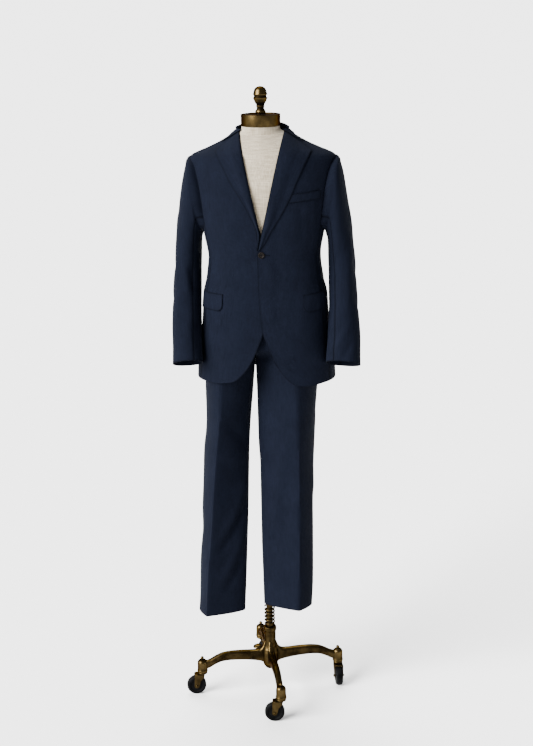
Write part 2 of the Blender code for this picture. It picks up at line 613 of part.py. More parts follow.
def breast_welt():
    """The slanted band of the breast pocket on the wearer's left."""
    share = np.linspace(0.0, 1.0, 7)
    low = WELT["z"] + WELT["rise"] * share
    z = low[None] + np.linspace(0.0, WELT["height"], 4)[:, None]
    start = read(LAPEL, "left_x", z[:, :1], "edge_z") + WELT["clear"]
    angle = angle_at(start + (WELT["end"] - start) * share, z)
    return patch("breast_welt", angle, z, GAP, cloth("breast_welt"))


def pocket_flap(side):
    """A hip pocket's flap with its rounded front corner."""
    angle = np.linspace(FLAP["start"], FLAP["end"], 9)
    along = (angle - FLAP["start"]) * FLAP["per_degree"]
    corner = np.clip(1.0 - along / FLAP["corner"], 0.0, 1.0)
    depth = FLAP["depth"] - FLAP["corner"] * (1.0 - np.sqrt(np.clip(1.0 - corner ** 2, 0.0, 1.0)))
    share = np.linspace(1.0, 0.0, 4)[:, None]
    z = FLAP["top"] - depth * share
    angle = np.repeat(angle[None], 4, axis=0)
    out = GAP + 0.0012 * share * np.ones_like(angle)
    if SIDES[side] < 0:
        angle, z, out = -angle[:, ::-1], z[:, ::-1], out[:, ::-1]
    name = "pocket_flap_" + side
    return patch(name, angle, z, out, cloth(name))


def turned(name, profile, material, centre=(0.0, 0.0, 0.0), axis=(0.0, 0.0, 1.0), steps=24):
    """A profile of radii and heights spun round an axis."""
    mesh = bpy.data.meshes.new(name)
    edges = [(i, i + 1) for i in range(len(profile) - 1)]
    closed = profile[0][0] > 0.0 and profile[-1][0] > 0.0
    if closed:
        edges.append((len(profile) - 1, 0))
    mesh.from_pydata([(r, 0.0, z) for r, z in profile], edges, [])
    mesh.materials.append(material)
    thing = bpy.data.objects.new(name, mesh)
    parts.objects.link(thing)
    spin = thing.modifiers.new("spin", "SCREW")
    spin.steps = steps
    spin.render_steps = steps
    spin.use_merge_vertices = True
    spin.merge_threshold = 0.00002
    spin.use_smooth_shade = True
    thing.location = centre
    z_axis = np.array(axis, float)
    if abs(z_axis[2]) < 0.9999:
        thing.rotation_mode = "QUATERNION"
        side = np.cross((0.0, 0.0, 1.0), z_axis)
        side /= np.linalg.norm(side)
        half = 0.5 * math.acos(float(np.clip(z_axis[2] / np.linalg.norm(z_axis), -1.0, 1.0)))
        thing.rotation_quaternion = (math.cos(half), *(side * math.sin(half)))
    return thing


def button():
    """The fastened front button: a shallow dish with a raised rim."""
    angle, z = angle_at(0.0, BUTTON_HEIGHT), BUTTON_HEIGHT
    seat = body(angle, z, OVERLAP_LIFT + GAP)
    facing = outward(JACKET, np.array(angle, float), np.array(z, float))
    profile = ((0.0, 0.0026), (0.0062, 0.0024), (0.0072, 0.0036), (0.0086, 0.0040), (0.0098, 0.0034),
               (0.0100, 0.0020), (0.0092, 0.0006), (0.0070, 0.0), (0.0, 0.0))
    material = make_material("button_dark_horn", (0.035, 0.028, 0.026), 0.35)
    c, s = math.cos(YAW), math.sin(YAW)
    axis = (c * facing[0] - s * facing[1], s * facing[0] + c * facing[1], facing[2])
    return turned("front_button", profile, material, in_place(seat), axis, steps=16)


def pressed(inner, outer, fold, flat):
    """Half of a leg's ring: x from the inner edge past the fold to the outer edge, and its share of the full
    depth, which mixes a quarter circle with a straight line on each side of the fold."""
    inside = np.linspace(0.0, 0.5 * math.pi, 6)
    outside = np.linspace(0.5 * math.pi, 0.0, 4)[1:]
    turn = np.concatenate([inside, outside])
    reach = np.where(np.arange(len(turn)) < len(inside), inner - fold, outer - fold)
    return fold + reach * np.cos(turn), (1.0 - flat) * np.sin(turn) + flat * (1.0 - np.cos(turn))


def leg_grid(side):
    """All of one side of the trousers: columns from the front middle or inseam, round the outside, to the
    back middle or inseam, rows from the hem to the waist seam. Below the fork each row is a leg's ring;
    above it the row opens at the middle, so the rows between make the fork's curve."""
    table = LEG_RIGHT if side == "right" else LEG_LEFT
    z = np.array([table[1][0], *TROUSER_ROWS])[:, None]
    below = np.minimum(z, FORK)
    outer, inner, crease = (read(table, name, below) for name in ("outer", "inner", "crease"))
    depth, y_mid, flat = (read(table, name, below) for name in ("depth", "middle_y", "flat"))
    middle = 0.5 * (outer + inner)
    front_x, front_deep = pressed(inner, outer, crease, flat)
    back_x, back_deep = pressed(inner, outer, middle - BACK_CREASE * (crease - middle), flat)
    half = front_x.shape[1]
    above = np.maximum(z, FORK)
    quarter = np.linspace(0.0, 0.5 * math.pi, half)
    mid_seam = read(SEAT, "middle", above) + SIDES[side] * SEAM
    side_x = read(SEAT, side, above)
    round_x = mid_seam + (side_x - mid_seam) * np.sin(quarter) ** (2.0 / SEAT_POWER)
    round_deep = np.cos(quarter) ** (2.0 / SEAT_POWER)
    blend = ease((z - FORK) / FORK_BLEND)
    front_y = (y_mid - front_deep * depth) * (1 - blend) - round_deep * read(SEAT, "front", above) * blend
    back_y = (y_mid + back_deep * depth) * (1 - blend) + round_deep * read(SEAT, "back", above) * blend
    front = np.stack([front_x * (1 - blend) + round_x * blend, front_y, z + 0.0 * front_x], -1)
    back = np.stack([back_x * (1 - blend) + round_x * blend, back_y, z + 0.0 * back_x], -1)
    return np.concatenate([front, back[:, -2::-1]], axis=1), half


def leg_normals(grid, side):
    """Unit normals of one side of the trousers. Both edges share a normal at the inseam, and at the middle
    seams they face straight forward and back, so the pieces' inner edges never cross."""
    around = np.gradient(grid, axis=1)
    across = grid[:, 1] - grid[:, -2]
    blend = ease((grid[:, :1, 2] - FORK) / FORK_BLEND)
    sideways = np.array([SIDES[side], 0.0, 0.0]) * np.linalg.norm(across, axis=-1, keepdims=True)
    around[:, 0] = across * (1.0 - blend) + sideways * blend
    around[:, -1] = across * (1.0 - blend) - sideways * blend
    normal = np.cross(around, np.gradient(grid, axis=0)) * SIDES[side]
    return normal / np.linalg.norm(normal, axis=-1, keepdims=True)


def trouser_side(side):
    """A front and a back of the trousers, cut from one grid at the side seam."""
    grid, half = leg_grid(side)
    inside = grid - leg_normals(grid, side) * WALL
    made = []
    for kind, columns in (("front", slice(0, half)), ("back", slice(half - 1, None))):
        outer, inner = narrowed(grid[:, columns]), narrowed(inside[:, columns])
        if SIDES[side] < 0:
            outer, inner = outer[:, ::-1], inner[:, ::-1]
        name = f"trouser_{kind}_{side}"
        made.append(wall(name, in_place(outer), in_place(inner), cloth(name)))
    return made


def seat_ring(z, count, out):
    """A level ring of the waist: the trousers' section above the fork."""
    turn = np.radians(np.linspace(-178.9, 178.9, count))
    s, c = np.sin(turn), np.cos(turn)
    side_x = np.where(s > 0, read(SEAT, "left", z), -read(SEAT, "right", z)) + out
    deep = np.where(c > 0, -read(SEAT, "front", z) - out, read(SEAT, "back", z) + out)
    power = 2.0 / SEAT_POWER
    return np.stack([side_x * np.sign(s) * np.abs(s) ** power, deep * np.abs(c) ** power, z + 0.0 * s], -1)


def waistband():
    """The band at the waist, closed at the centre back by a seam's gap."""
    levels = (WAIST_SEAM + GAP, WAIST_TOP)
    outer, inner = (np.array([seat_ring(z, 41, out) for z in levels]) for out in (0.0, -WALL))
    return wall("waistband", in_place(outer), in_place(inner), cloth("waistband"))


def form_torso():
    """The limbless padded torso, which carries the jacket on its shoulders and ends above the fork."""
    angles = np.linspace(0.0, 360.0, 26, endpoint=False) + 90.0 / 13.0
    rings = [section(FORM, angles, 0.0 * angles + z) for z in column(FORM, "z")]
    rings += [body(angles, 0.0 * angles + z, -(WALL + FORM_CLEARANCE)) for z in FORM_SHOULDER_ROWS]
    rings = in_place(np.array(rings))
    return loft("form_torso", rings, make_material("form_torso_linen", (0.62, 0.55, 0.42), 0.9))


def joined(target, pieces, operation="UNION"):
    """Adds or cuts pieces with Boolean modifiers; the pieces stay as hidden guides."""
    for piece in pieces:
        tool = target.modifiers.new(operation.lower(), "BOOLEAN")
        tool.operation = operation
        tool.solver = "EXACT"
        tool.object = piece
        piece.hide_render = True
        piece.display_type = "WIRE"
        for owner in list(piece.users_collection):
            owner.objects.unlink(piece)
        cutters.objects.link(piece)
    return target


def cylinder(name, radius, bottom, top, material, centre=(0.0, 0.0), segments=32, bevel=0.0):
    bpy.ops.mesh.primitive_cylinder_add(vertices=segments, radius=radius, depth=top - bottom,
                                        location=(centre[0], centre[1], 0.5 * (top + bottom)))
    thing = bpy.context.object
    thing.name = name
    thing.data.name = name
    thing.data.materials.append(material)
    for owner in list(thing.users_collection):
        owner.objects.unlink(thing)
    parts.objects.link(thing)
    if bevel:
        edge = thing.modifiers.new("edge", "BEVEL")
        edge.width = bevel
        edge.segments = 2
        edge.limit_method = "ANGLE"
        edge.angle_limit = math.radians(60.0)
    return thing


def box(name, size, centre, turn, material):
    """A box turned about the vertical."""
    bpy.ops.mesh.primitive_cube_add(size=1.0)
    thing = bpy.context.object
    thing.name = name
    thing.data.name = name
    thing.data.materials.append(material)
    thing.scale = size
    bpy.ops.object.transform_apply(location=False, rotation=False, scale=True)
    thing.rotation_euler = (0.0, 0.0, turn)
    thing.location = centre
    for owner in list(thing.users_collection):
        owner.objects.unlink(thing)
    parts.objects.link(thing)
    return thing


def dress_form():
    """The torso with its neck, the cap and the finial."""
    torso = form_torso()
    neck = cylinder("neck_guide", NECK_RADIUS, 1.800, CAP_HEIGHT[0] - GAP, torso.data.materials[0])
    joined(torso, [neck])
    low, high = CAP_HEIGHT
    cap = ((0.0, high), (CAP_RADIUS - 0.004, high), (CAP_RADIUS - 0.001, high - 0.001),
           (CAP_RADIUS, high - 0.004), (CAP_RADIUS, low + 0.001), (CAP_RADIUS - 0.001, low), (0.0, low))
    turned("neck_cap", cap, brass("neck_cap"), steps=28)
    turned("finial", FINIAL, brass("finial"), steps=16)


def pole():
    cylinder("pole", POLE_RADIUS, POLE_BOTTOM, FORM_BOTTOM - GAP, brass("pole"), segments=20)


def hub():
    """The stand's centre tube with its bowl, bored for the pole."""
    return turned("stand_hub", HUB, brass("stand_hub"), steps=20)


def arm_rings(azimuth):
    """Rounded box sections along an arm, between the hub and its bell."""
    turn = np.linspace(0.0, 2.0 * math.pi, 8, endpoint=False) + math.pi / 8.0
    rings = []
    for r in np.linspace(0.0200, FOOT_RADIUS - 0.0120, 8):
        half_width = 0.5 * read(ARM, "width", r, "r")
        half_height = 0.5 * read(ARM, "height", r, "r")
        squeeze = 1.0 / math.cos(math.pi / 8.0)
        side = np.cos(turn) * half_width * squeeze
        high = np.sin(turn) * half_height * squeeze
        c, s = math.cos(azimuth), math.sin(azimuth)
        rings.append(np.stack([c * r - s * side, s * r + c * side, read(ARM, "z", r, "r") + high], -1))
    return np.array(rings)


def stand():
    hub()
    for name, degrees in FOOT_AZIMUTH.items():
        azimuth = math.radians(degrees) + FOOT_TURN
        foot = (FOOT_RADIUS * math.cos(azimuth), FOOT_RADIUS * math.sin(azimuth), 0.0)
        material = brass("stand_arm_" + name)
        arm = loft("stand_arm_" + name, arm_rings(azimuth), material)
        ends = [cylinder("hub_guide_" + name, HUB_RADIUS + GAP, 0.06, 0.17, material, segments=20),
                cylinder("bell_guide_" + name, BELL_RADIUS + GAP, 0.06, 0.17, material, foot, 16)]
        joined(arm, ends, "DIFFERENCE")
        turned("stand_bell_" + name, BELL, brass("stand_bell_" + name), foot, steps=16)
        caster(name, foot)
    height_spring()
    pedal()


def caster(name, foot):
    """A swivel fork under a bell, and its wheel."""
    way = math.radians(CASTER_TRAIL[name])
    c, s = math.cos(way), math.sin(way)
    material = brass("caster_fork_" + name)
    size = FORK_PARTS
    fork = cylinder("caster_fork_" + name, size["stem_radius"], size["stem_bottom"],
                    size["bell_bottom"] - GAP, material, foot, 14)
    half = 0.5 * WHEEL_WIDTH + size["wheel_gap"]

    def spot(along, across, up):
        return (foot[0] + c * along - s * across, foot[1] + s * along + c * across, up)

    long, thick = size["plate"]
    plate = box("plate_guide_" + name, (long, 2 * (half + size["plate_edge"]), thick),
                spot(0.5 * TRAIL, 0.0, size["plate_z"]), way, material)
    cheeks = [box(f"cheek_guide_{name}_{number}", size["cheek"],
                  spot(size["cheek_along"] * TRAIL, edge * (half + 0.5 * size["cheek"][1]), size["cheek_z"]),
                  way, material)
              for number, edge in enumerate((-1.0, 1.0))]
    axle = turned_axle(name, foot, way, material, half + size["axle_end"], size["axle_radius"])
    joined(fork, [plate, *cheeks, axle])
    wheel(name, foot, way)


def wheel_centre(foot, way):
    return (foot[0] + math.cos(way) * TRAIL, foot[1] + math.sin(way) * TRAIL, WHEEL_RADIUS)


def turned_axle(name, foot, way, material, half, radius):
    bpy.ops.mesh.primitive_cylinder_add(vertices=10, radius=radius, depth=2 * half)
    axle = bpy.context.object
    axle.name = "axle_guide_" + name
    axle.data.materials.append(material)
    axle.rotation_euler = (math.pi / 2.0, 0.0, way)
    axle.location = wheel_centre(foot, way)
    for owner in list(axle.users_collection):
        owner.objects.unlink(axle)
    parts.objects.link(axle)
    return axle


def wheel(name, foot, way):
    """A rubber wheel, spun so that one flat facet lies on the floor."""
    step = math.pi / WHEEL["steps"]
    rim, edge, half = WHEEL_RADIUS / math.cos(step), WHEEL["edge"], 0.5 * WHEEL_WIDTH
    profile = ((WHEEL["bore"], half), (rim - edge, half), (rim, half - edge),
               (rim, edge - half), (rim - edge, -half), (WHEEL["bore"], -half))
    mesh = bpy.data.meshes.new("caster_wheel_" + name)
    points = [(r * math.cos(step), r * math.sin(step), z) for r, z in profile]
    mesh.from_pydata(points, [(i, (i + 1) % len(points)) for i in range(len(points))], [])
    mesh.materials.append(make_material("caster_wheel_" + name + "_rubber", (0.02, 0.02, 0.02), 0.55))
    thing = bpy.data.objects.new("caster_wheel_" + name, mesh)
    parts.objects.link(thing)
    spin = thing.modifiers.new("spin", "SCREW")
    spin.steps = WHEEL["steps"]
    spin.render_steps = WHEEL["steps"]
    spin.use_merge_vertices = True
    spin.merge_threshold = 0.00002
    thing.rotation_euler = (math.pi / 2.0, 0.0, way)
    thing.location = wheel_centre(foot, way)


def height_spring():
    """The coil spring round the pole, on top of the hub."""
    turns, per_turn = SPRING["turns"], 10
    count = int(turns * per_turn) + 1
    angle = np.linspace(0.0, turns * 2.0 * math.pi, count)
    rise = SPRING["pitch"] * angle / (2.0 * math.pi)
    curve = bpy.data.curves.new("height_spring", "CURVE")
    curve.dimensions = "3D"
    curve.bevel_depth = SPRING["wire"]
    curve.bevel_resolution = 1
    curve.use_fill_caps = True
    spline = curve.splines.new("POLY")
    spline.points.add(count - 1)
    for number, (turn, up) in enumerate(zip(angle, rise)):
        spline.points[number].co = (SPRING["radius"] * math.cos(turn), SPRING["radius"] * math.sin(turn),
                                    SPRING["bottom"] + up, 1.0)
    curve.materials.append(brass("height_spring"))
    thing = bpy.data.objects.new("height_spring", curve)
    parts.objects.link(thing)


def pedal():
    """The foot pedal that frees the pole: an arm from the hub with a flat pad."""
    azimuth = math.radians(PEDAL["azimuth"])
    start = np.array([math.cos(azimuth), math.sin(azimuth)]) * PEDAL["start"]
    way = np.array(PEDAL["pad_centre"]) - start
    long = float(np.linalg.norm(way))
    turn = math.atan2(way[1], way[0])
    material = brass("foot_pedal")
    lever = box("foot_pedal", (long, PEDAL["width"], PEDAL["thick"]), (*(start + 0.5 * way), PEDAL["z"]),
                turn, material)
    pad = box("pad_guide", PEDAL["pad"], (*PEDAL["pad_centre"], PEDAL["z"] + PEDAL["pad_lift"]), turn,
              material)
    joined(lever, [pad])


for old in list(bpy.data.objects):
    bpy.data.objects.remove(old, do_unlink=True)
parts = bpy.data.collections.new("suit_on_dress_form")
cutters = bpy.data.collections.new("guides")
bpy.context.scene.collection.children.link(parts)
bpy.context.scene.collection.children.link(cutters)

for which_side in SIDES:
    front_panel(which_side)
    side_panel(which_side)
    back_panel(which_side)
    sleeve(which_side)
    lapel(which_side)
    pocket_flap(which_side)
    trouser_side(which_side)
collar()
breast_welt()
button()
waistband()
dress_form()
pole()
stand()
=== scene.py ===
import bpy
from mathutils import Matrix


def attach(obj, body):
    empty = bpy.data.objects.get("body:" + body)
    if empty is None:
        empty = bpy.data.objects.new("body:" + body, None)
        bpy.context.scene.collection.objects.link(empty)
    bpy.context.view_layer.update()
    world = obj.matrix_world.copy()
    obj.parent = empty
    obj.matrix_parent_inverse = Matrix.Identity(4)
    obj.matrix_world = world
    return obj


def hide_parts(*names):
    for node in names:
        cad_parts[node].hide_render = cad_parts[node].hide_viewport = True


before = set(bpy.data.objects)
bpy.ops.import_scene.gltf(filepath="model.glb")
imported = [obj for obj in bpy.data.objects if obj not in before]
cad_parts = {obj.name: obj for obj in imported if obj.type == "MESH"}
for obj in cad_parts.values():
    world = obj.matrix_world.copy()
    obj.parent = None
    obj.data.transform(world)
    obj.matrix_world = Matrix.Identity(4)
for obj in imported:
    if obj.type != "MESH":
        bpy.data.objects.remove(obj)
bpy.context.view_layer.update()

import math

import bmesh
import bpy
import numpy as np
from mathutils import Matrix, Vector

garment = {
    "centreX": 0.005, "yaw": math.radians(-4.5), "hemTilt": 0.05, "hemRise": (0.017, 0.09, 0.13),
    "wall": 0.002, "trimWall": 0.0018, "gap": 0.0004, "seam": 0.00008, "step": 0.006,
    "hem": 1.089, "underarm": 1.56, "sideSeamTop": 1.588, "shoulderTip": 1.793, "neckSeam": 1.866,
    "frontSeam": 66.0, "backSeam": 118.0, "breakHeight": 1.562, "rollSlope": 0.222, "overlap": 0.003,
    "buttonHeight": 1.505, "fork": 1.15, "waistSeam": 1.345, "waistTop": 1.385, "formBottom": 1.205,
}
sides = {"right": -1.0, "left": 1.0}

# Level sections of the jacket: half width, depth in front and behind, roundness
jacketSections = (
    ("z", "halfWidth", "front", "back", "power"),
    (1.07, 0.219, 0.131, 0.14, 2.5), (1.137, 0.216, 0.129, 0.138, 2.5),
    (1.2, 0.2055, 0.127, 0.135, 2.5), (1.3, 0.1965, 0.124, 0.124, 2.5),
    (1.36, 0.1935, 0.122, 0.113, 2.5), (1.417, 0.182, 0.121, 0.104, 2.5),
    (1.487, 0.175, 0.123, 0.101, 2.5), (1.545, 0.184, 0.1295, 0.108, 2.5),
    (1.6, 0.194, 0.1345, 0.117, 2.45), (1.65, 0.206, 0.1345, 0.12, 2.35),
    (1.7, 0.216, 0.131, 0.118, 2.25), (1.75, 0.2225, 0.122, 0.112, 2.05),
    (1.78, 0.2235, 0.114, 0.107, 1.9), (1.793, 0.2195, 0.109, 0.104, 1.8),
    (1.801, 0.206, 0.105, 0.1015, 1.74), (1.814, 0.175, 0.098, 0.097, 1.65),
    (1.833, 0.134, 0.085, 0.09, 1.55), (1.852, 0.101, 0.066, 0.08, 1.5),
    (1.874, 0.068, 0.03, 0.066, 1.45),
)
frontEdgeCurve = (
    ("z", "x"),
    (1.089, 0.15), (1.093, 0.126), (1.099, 0.098), (1.109, 0.082), (1.132, 0.06), (1.168, 0.036),
    (1.2115, 0.017), (1.259, 0.0), (1.32, -0.008), (1.4, -0.012), (1.505, -0.013),
)
armholeCurve = (
    ("z", "frontX", "backX"),
    (1.588, 0.1765, 0.174), (1.612, 0.18, 0.178), (1.65, 0.1845, 0.184), (1.69, 0.1895, 0.19),
    (1.724, 0.196, 0.1965), (1.76, 0.2065, 0.2075), (1.78, 0.216, 0.2165),
)
sleeveRows = (
    ("outerX", "outerZ", "innerX", "innerZ", "depth", "middleY", "tilt"),
    (0.2325, 1.779, 0.19, 1.5565, 0.08, 0.002, 0.0), (0.2435, 1.743, 0.1925, 1.55, 0.083, 0.003, 0.0),
    (0.2525, 1.695, 0.1945, 1.54, 0.081, 0.004, 0.0), (0.2615, 1.64, 0.1955, 1.525, 0.077, 0.005, 0.0),
    (0.2695, 1.58, 0.1965, 1.505, 0.073, 0.005, 0.0), (0.2765, 1.515, 0.197, 1.475, 0.07, 0.003, 2.0),
    (0.2835, 1.435, 0.198, 1.42, 0.066, -0.004, 6.0), (0.288, 1.36, 0.1985, 1.355, 0.062, -0.019, 12.0),
    (0.291, 1.28, 0.1975, 1.28, 0.057, -0.043, 18.0), (0.292, 1.218, 0.1955, 1.22, 0.052, -0.067, 22.0),
    (0.292, 1.153, 0.1915, 1.161, 0.048, -0.093, 24.0),
)
sleeveReach = {"right": -0.005, "left": 0.007}  # how much wider each sleeve is at its cuff
lapelCurve = (
    ("rollZ", "edgeZ", "rightX", "leftX"),
    (1.518, 1.52, 0.007, -0.005), (1.53, 1.533, 0.01, 0.006), (1.57, 1.574, 0.014, 0.029),
    (1.63, 1.628, 0.036, 0.063), (1.68, 1.674, 0.061, 0.088), (1.74, 1.721, 0.091, 0.108),
    (1.785, 1.761, 0.112, 0.126), (1.828, 1.808, 0.14, 0.15), (1.845, 1.818, 0.128, 0.1345),
    (1.862, 1.829, 0.115, 0.118),
)
collarCurve = (
    ("footAngle", "footZ", "stand", "foldOut", "edgeAngle", "edgeZ"),
    (180.0, 1.8685, 0.0185, 0.005, 180.0, 1.843), (155.0, 1.8685, 0.018, 0.005, 157.0, 1.8435),
    (130.0, 1.869, 0.015, 0.005, 133.0, 1.8465), (105.0, 1.869, 0.0095, 0.0052, 108.0, 1.853),
    (86.0, 1.868, 0.0055, 0.0055, 88.0, 1.857), (70.0, 1.8674, 0.0045, 0.005, 76.0, 1.848),
    (55.0, 1.8668, 0.003, 0.0035, 73.6, 1.8335),
)
collarSag = {"start": 0.8, "drop": 0.009}  # the front end bends down along the lapel before the notch
# Each trouser leg: both edges of the tube, its front crease, its depths and how flat its panels are pressed
legRight = (
    ("z", "outer", "inner", "crease", "depth", "middleY", "flat"),
    (0.284, -0.24, -0.085, -0.208, 0.064, -0.002, 0.6),
    (0.427, -0.232, -0.0775, -0.199, 0.069, 0.0, 0.58),
    (0.546, -0.2255, -0.072, -0.186, 0.074, 0.002, 0.56),
    (0.662, -0.218, -0.067, -0.176, 0.079, 0.003, 0.52),
    (0.834, -0.207, -0.0615, -0.16, 0.089, 0.004, 0.44),
    (0.948, -0.198, -0.054, -0.147, 0.097, 0.004, 0.36),
    (1.05, -0.196, -0.044, -0.141, 0.101, 0.003, 0.26),
    (1.15, -0.193, -0.0353, -0.138, 0.105, 0.0, 0.1),
)
legLeft = (
    ("z", "outer", "inner", "crease", "depth", "middleY", "flat"),
    (0.308, 0.137, -0.023, 0.098, 0.062, -0.002, 0.6), (0.422, 0.141, -0.025, 0.1, 0.068, 0.0, 0.58),
    (0.542, 0.144, -0.027, 0.102, 0.074, 0.002, 0.56),
    (0.658, 0.146, -0.027, 0.103, 0.079, 0.003, 0.52),
    (0.79, 0.146, -0.027, 0.1045, 0.087, 0.004, 0.46), (0.884, 0.149, -0.031, 0.105, 0.093, 0.004, 0.4),
    (1.031, 0.159, -0.0325, 0.101, 0.101, 0.003, 0.3), (1.15, 0.171, -0.0347, 0.098, 0.105, 0.0, 0.1),
)
seatSections = (
    ("z", "right", "left", "middle", "front", "back"),
    (1.15, -0.193, 0.171, -0.035, 0.108, 0.113), (1.2, -0.19, 0.175, -0.031, 0.11, 0.118),
    (1.27, -0.18, 0.172, -0.016, 0.109, 0.114), (1.345, -0.1575, 0.1575, 0.0, 0.1005, 0.0985),
    (1.39, -0.1565, 0.1565, 0.0, 0.1, 0.097),
)
formSections = (
    ("z", "halfWidth", "front", "back", "power"),
    (1.205, 0.158, 0.09, 0.098, 2.3), (1.225, 0.164, 0.095, 0.103, 2.3),
    (1.28, 0.164, 0.097, 0.103, 2.3), (1.32, 0.156, 0.097, 0.096, 2.4),
    (1.347, 0.1544, 0.0974, 0.0953, 2.4), (1.383, 0.1536, 0.097, 0.0943, 2.4),
    (1.41, 0.15, 0.096, 0.09, 2.4), (1.46, 0.15, 0.099, 0.086, 2.4), (1.54, 0.16, 0.113, 0.094, 2.4),
    (1.62, 0.172, 0.124, 0.108, 2.4), (1.7, 0.18, 0.124, 0.112, 2.3), (1.76, 0.184, 0.114, 0.106, 2.1),
    (1.795, 0.18, 0.102, 0.098, 1.85),
)

# Soft troughs (depth below 0) and ridges in millimetres, each along a line on the face that it stands
# under: start and end across and up, half width, depth, and sideways bow
creaseNames = ("across0", "z0", "across1", "z1", "width", "depth", "bow")
frontCreases = {
    "left": (
        (6, 1293, 66, 1300, 7.5, -1.6, 2), (10, 1309, 80, 1322, 10, 1, 3),
        (36, 1160, 94, 1166, 8, -1.9, 3), (30, 1181, 100, 1190, 11, 1, 4),
        (-4, 1370, 62, 1381, 6.5, -1.2, 2), (2, 1347, 40, 1351, 6, -1, 1),
        (22, 1275, 40, 1178, 9, -1.3, 4), (44, 1290, 62, 1190, 11, 1, 5),
        (0, 1490, 30, 1395, 10, -1.2, 4), (18, 1500, 75, 1440, 8, -1, 4),
        (117, 1655, 121, 1530, 13, -1.8, -4), (143, 1625, 146, 1520, 11, -1.5, -3),
        (172, 1700, 170, 1560, 10, -2, -4), (150, 1480, 120, 1240, 20, 1.6, 6),
    ),
    "right": (
        (-155, 1486, -161, 1436, 8, -2.2, 1), (-140, 1500, -120, 1400, 16, 1.2, 4),
        (-172, 1700, -168, 1565, 11, -2.4, 4), (-10, 1500, -80, 1455, 10, -1, -4),
        (-12, 1510, -120, 1540, 13, 0.9, 6), (-60, 1300, -80, 1150, 24, 1.4, 4),
        (-130, 1270, -150, 1120, 18, -1.4, 5), (-105, 1640, -115, 1530, 18, 1.2, 6),
    ),
}
backCreases = (
    (-110, 1760, -150, 1600, 15, -2.2, 6), (118, 1750, 155, 1590, 14, -2, -6),
    (-60, 1450, 30, 1438, 11, -1.4, 3), (-30, 1470, 90, 1462, 13, 1.2, 4),
    (70, 1425, 140, 1450, 10, -1.3, 3), (-140, 1440, -75, 1415, 10, -1.2, -3),
    (-105, 1330, -120, 1130, 22, -2.2, 6), (-50, 1300, -55, 1110, 24, 2, 4),
    (62, 1320, 70, 1105, 23, -2, -5), (125, 1330, 145, 1120, 21, 2, 4),
    (10, 1840, 60, 1800, 10, -1.2, 2),
)
sideCreases = {
    "right": (
        (-30, 1500, 20, 1440, 11, -1.8, 3), (0, 1420, 45, 1380, 11, -1.4, 3),
    ),
    "left": (
        (-25, 1500, 15, 1445, 11, -1.6, 3), (5, 1410, 50, 1370, 11, -1.4, 2),
    ),
}
sleeveCreases = {
    "right": {
        "front": (
            (-224, 1462, -214, 1380, 11, -4.5, 2), (-245, 1480, -232, 1360, 12, 2.2, -4),
            (-262, 1560, -266, 1240, 13, 1.8, 3), (-215, 1350, -232, 1230, 13, 2, 3),
            (-205, 1300, -204, 1190, 9, -2.2, 2), (-222, 1700, -212, 1560, 14, -2.6, 4),
        ),
        "right": (
            (-45, 1480, 40, 1400, 13, -2.8, 5), (-70, 1390, 0, 1320, 13, -2.4, 4),
            (-10, 1620, 50, 1520, 18, 2.2, 6),
        ),
        "back": (
            (-215, 1520, -270, 1455, 12, -3, 4), (-210, 1450, -275, 1400, 12, -3.2, 4),
            (-215, 1385, -270, 1350, 11, -2.4, 3),
        ),
    },
    "left": {
        "front": (
            (262, 1290, 205, 1190, 12, 3.4, -4), (275, 1240, 232, 1165, 11, -3.2, -3),
            (272, 1560, 262, 1330, 10, 2.6, 3), (228, 1640, 222, 1480, 14, 2.2, -3),
            (205, 1470, 236, 1385, 12, -2.6, 3), (214, 1700, 206, 1570, 12, -2.8, -4),
        ),
        "left": (
            (-50, 1470, 45, 1395, 13, -2.6, 5), (-70, 1370, -10, 1310, 13, -2.2, 4),
            (-20, 1640, 45, 1530, 18, 2, 6),
        ),
        "back": (
            (220, 1530, 275, 1460, 12, -3, -4), (215, 1445, 280, 1395, 12, -3, -4),
            (222, 1375, 275, 1340, 11, -2.2, -3),
        ),
    },
}
legCreases = {
    "right": {
        "front": (
            (-70, 762, -152, 552, 15, 5, -10), (-78, 660, -164, 500, 11, -6, -8),
            (-82, 575, -156, 404, 14, 5.2, -8), (-92, 470, -150, 360, 10, -4, -4),
            (-130, 965, -66, 854, 17, -4, -6), (-140, 860, -85, 800, 15, 2.2, -4),
            (-110, 1110, -70, 1010, 16, 2, 4),
        ),
        "right": (
            (-20, 640, 30, 480, 16, -3.6, 4), (10, 900, 30, 700, 18, 3, 4),
        ),
        "back": (
            (-105, 820, -160, 700, 16, -4.5, 6), (-85, 740, -150, 610, 14, 4, 6),
            (-100, 620, -165, 480, 15, -4.5, 5), (-95, 1060, -140, 960, 16, -3, 5),
        ),
    },
    "left": {
        "front": (
            (58, 870, 20, 564, 18, 3.6, 10), (78, 760, 48, 520, 14, -2.6, 8),
            (30, 620, 18, 450, 13, -2.2, 4), (-20, 1030, 6, 960, 10, -3.4, 3),
            (-18, 950, 10, 880, 9, -3, 3), (20, 1080, 60, 940, 17, 2.2, 5),
        ),
        "left": (
            (0, 720, 25, 540, 16, -3.4, 4), (15, 980, 30, 790, 18, 2.8, 4),
        ),
        "back": (
            (40, 830, 100, 690, 16, -4.4, 6), (30, 730, 85, 600, 14, 3.8, 6),
            (45, 600, 105, 470, 15, -4, 5), (35, 1070, 80, 960, 16, -3, 5),
        ),
    },
}


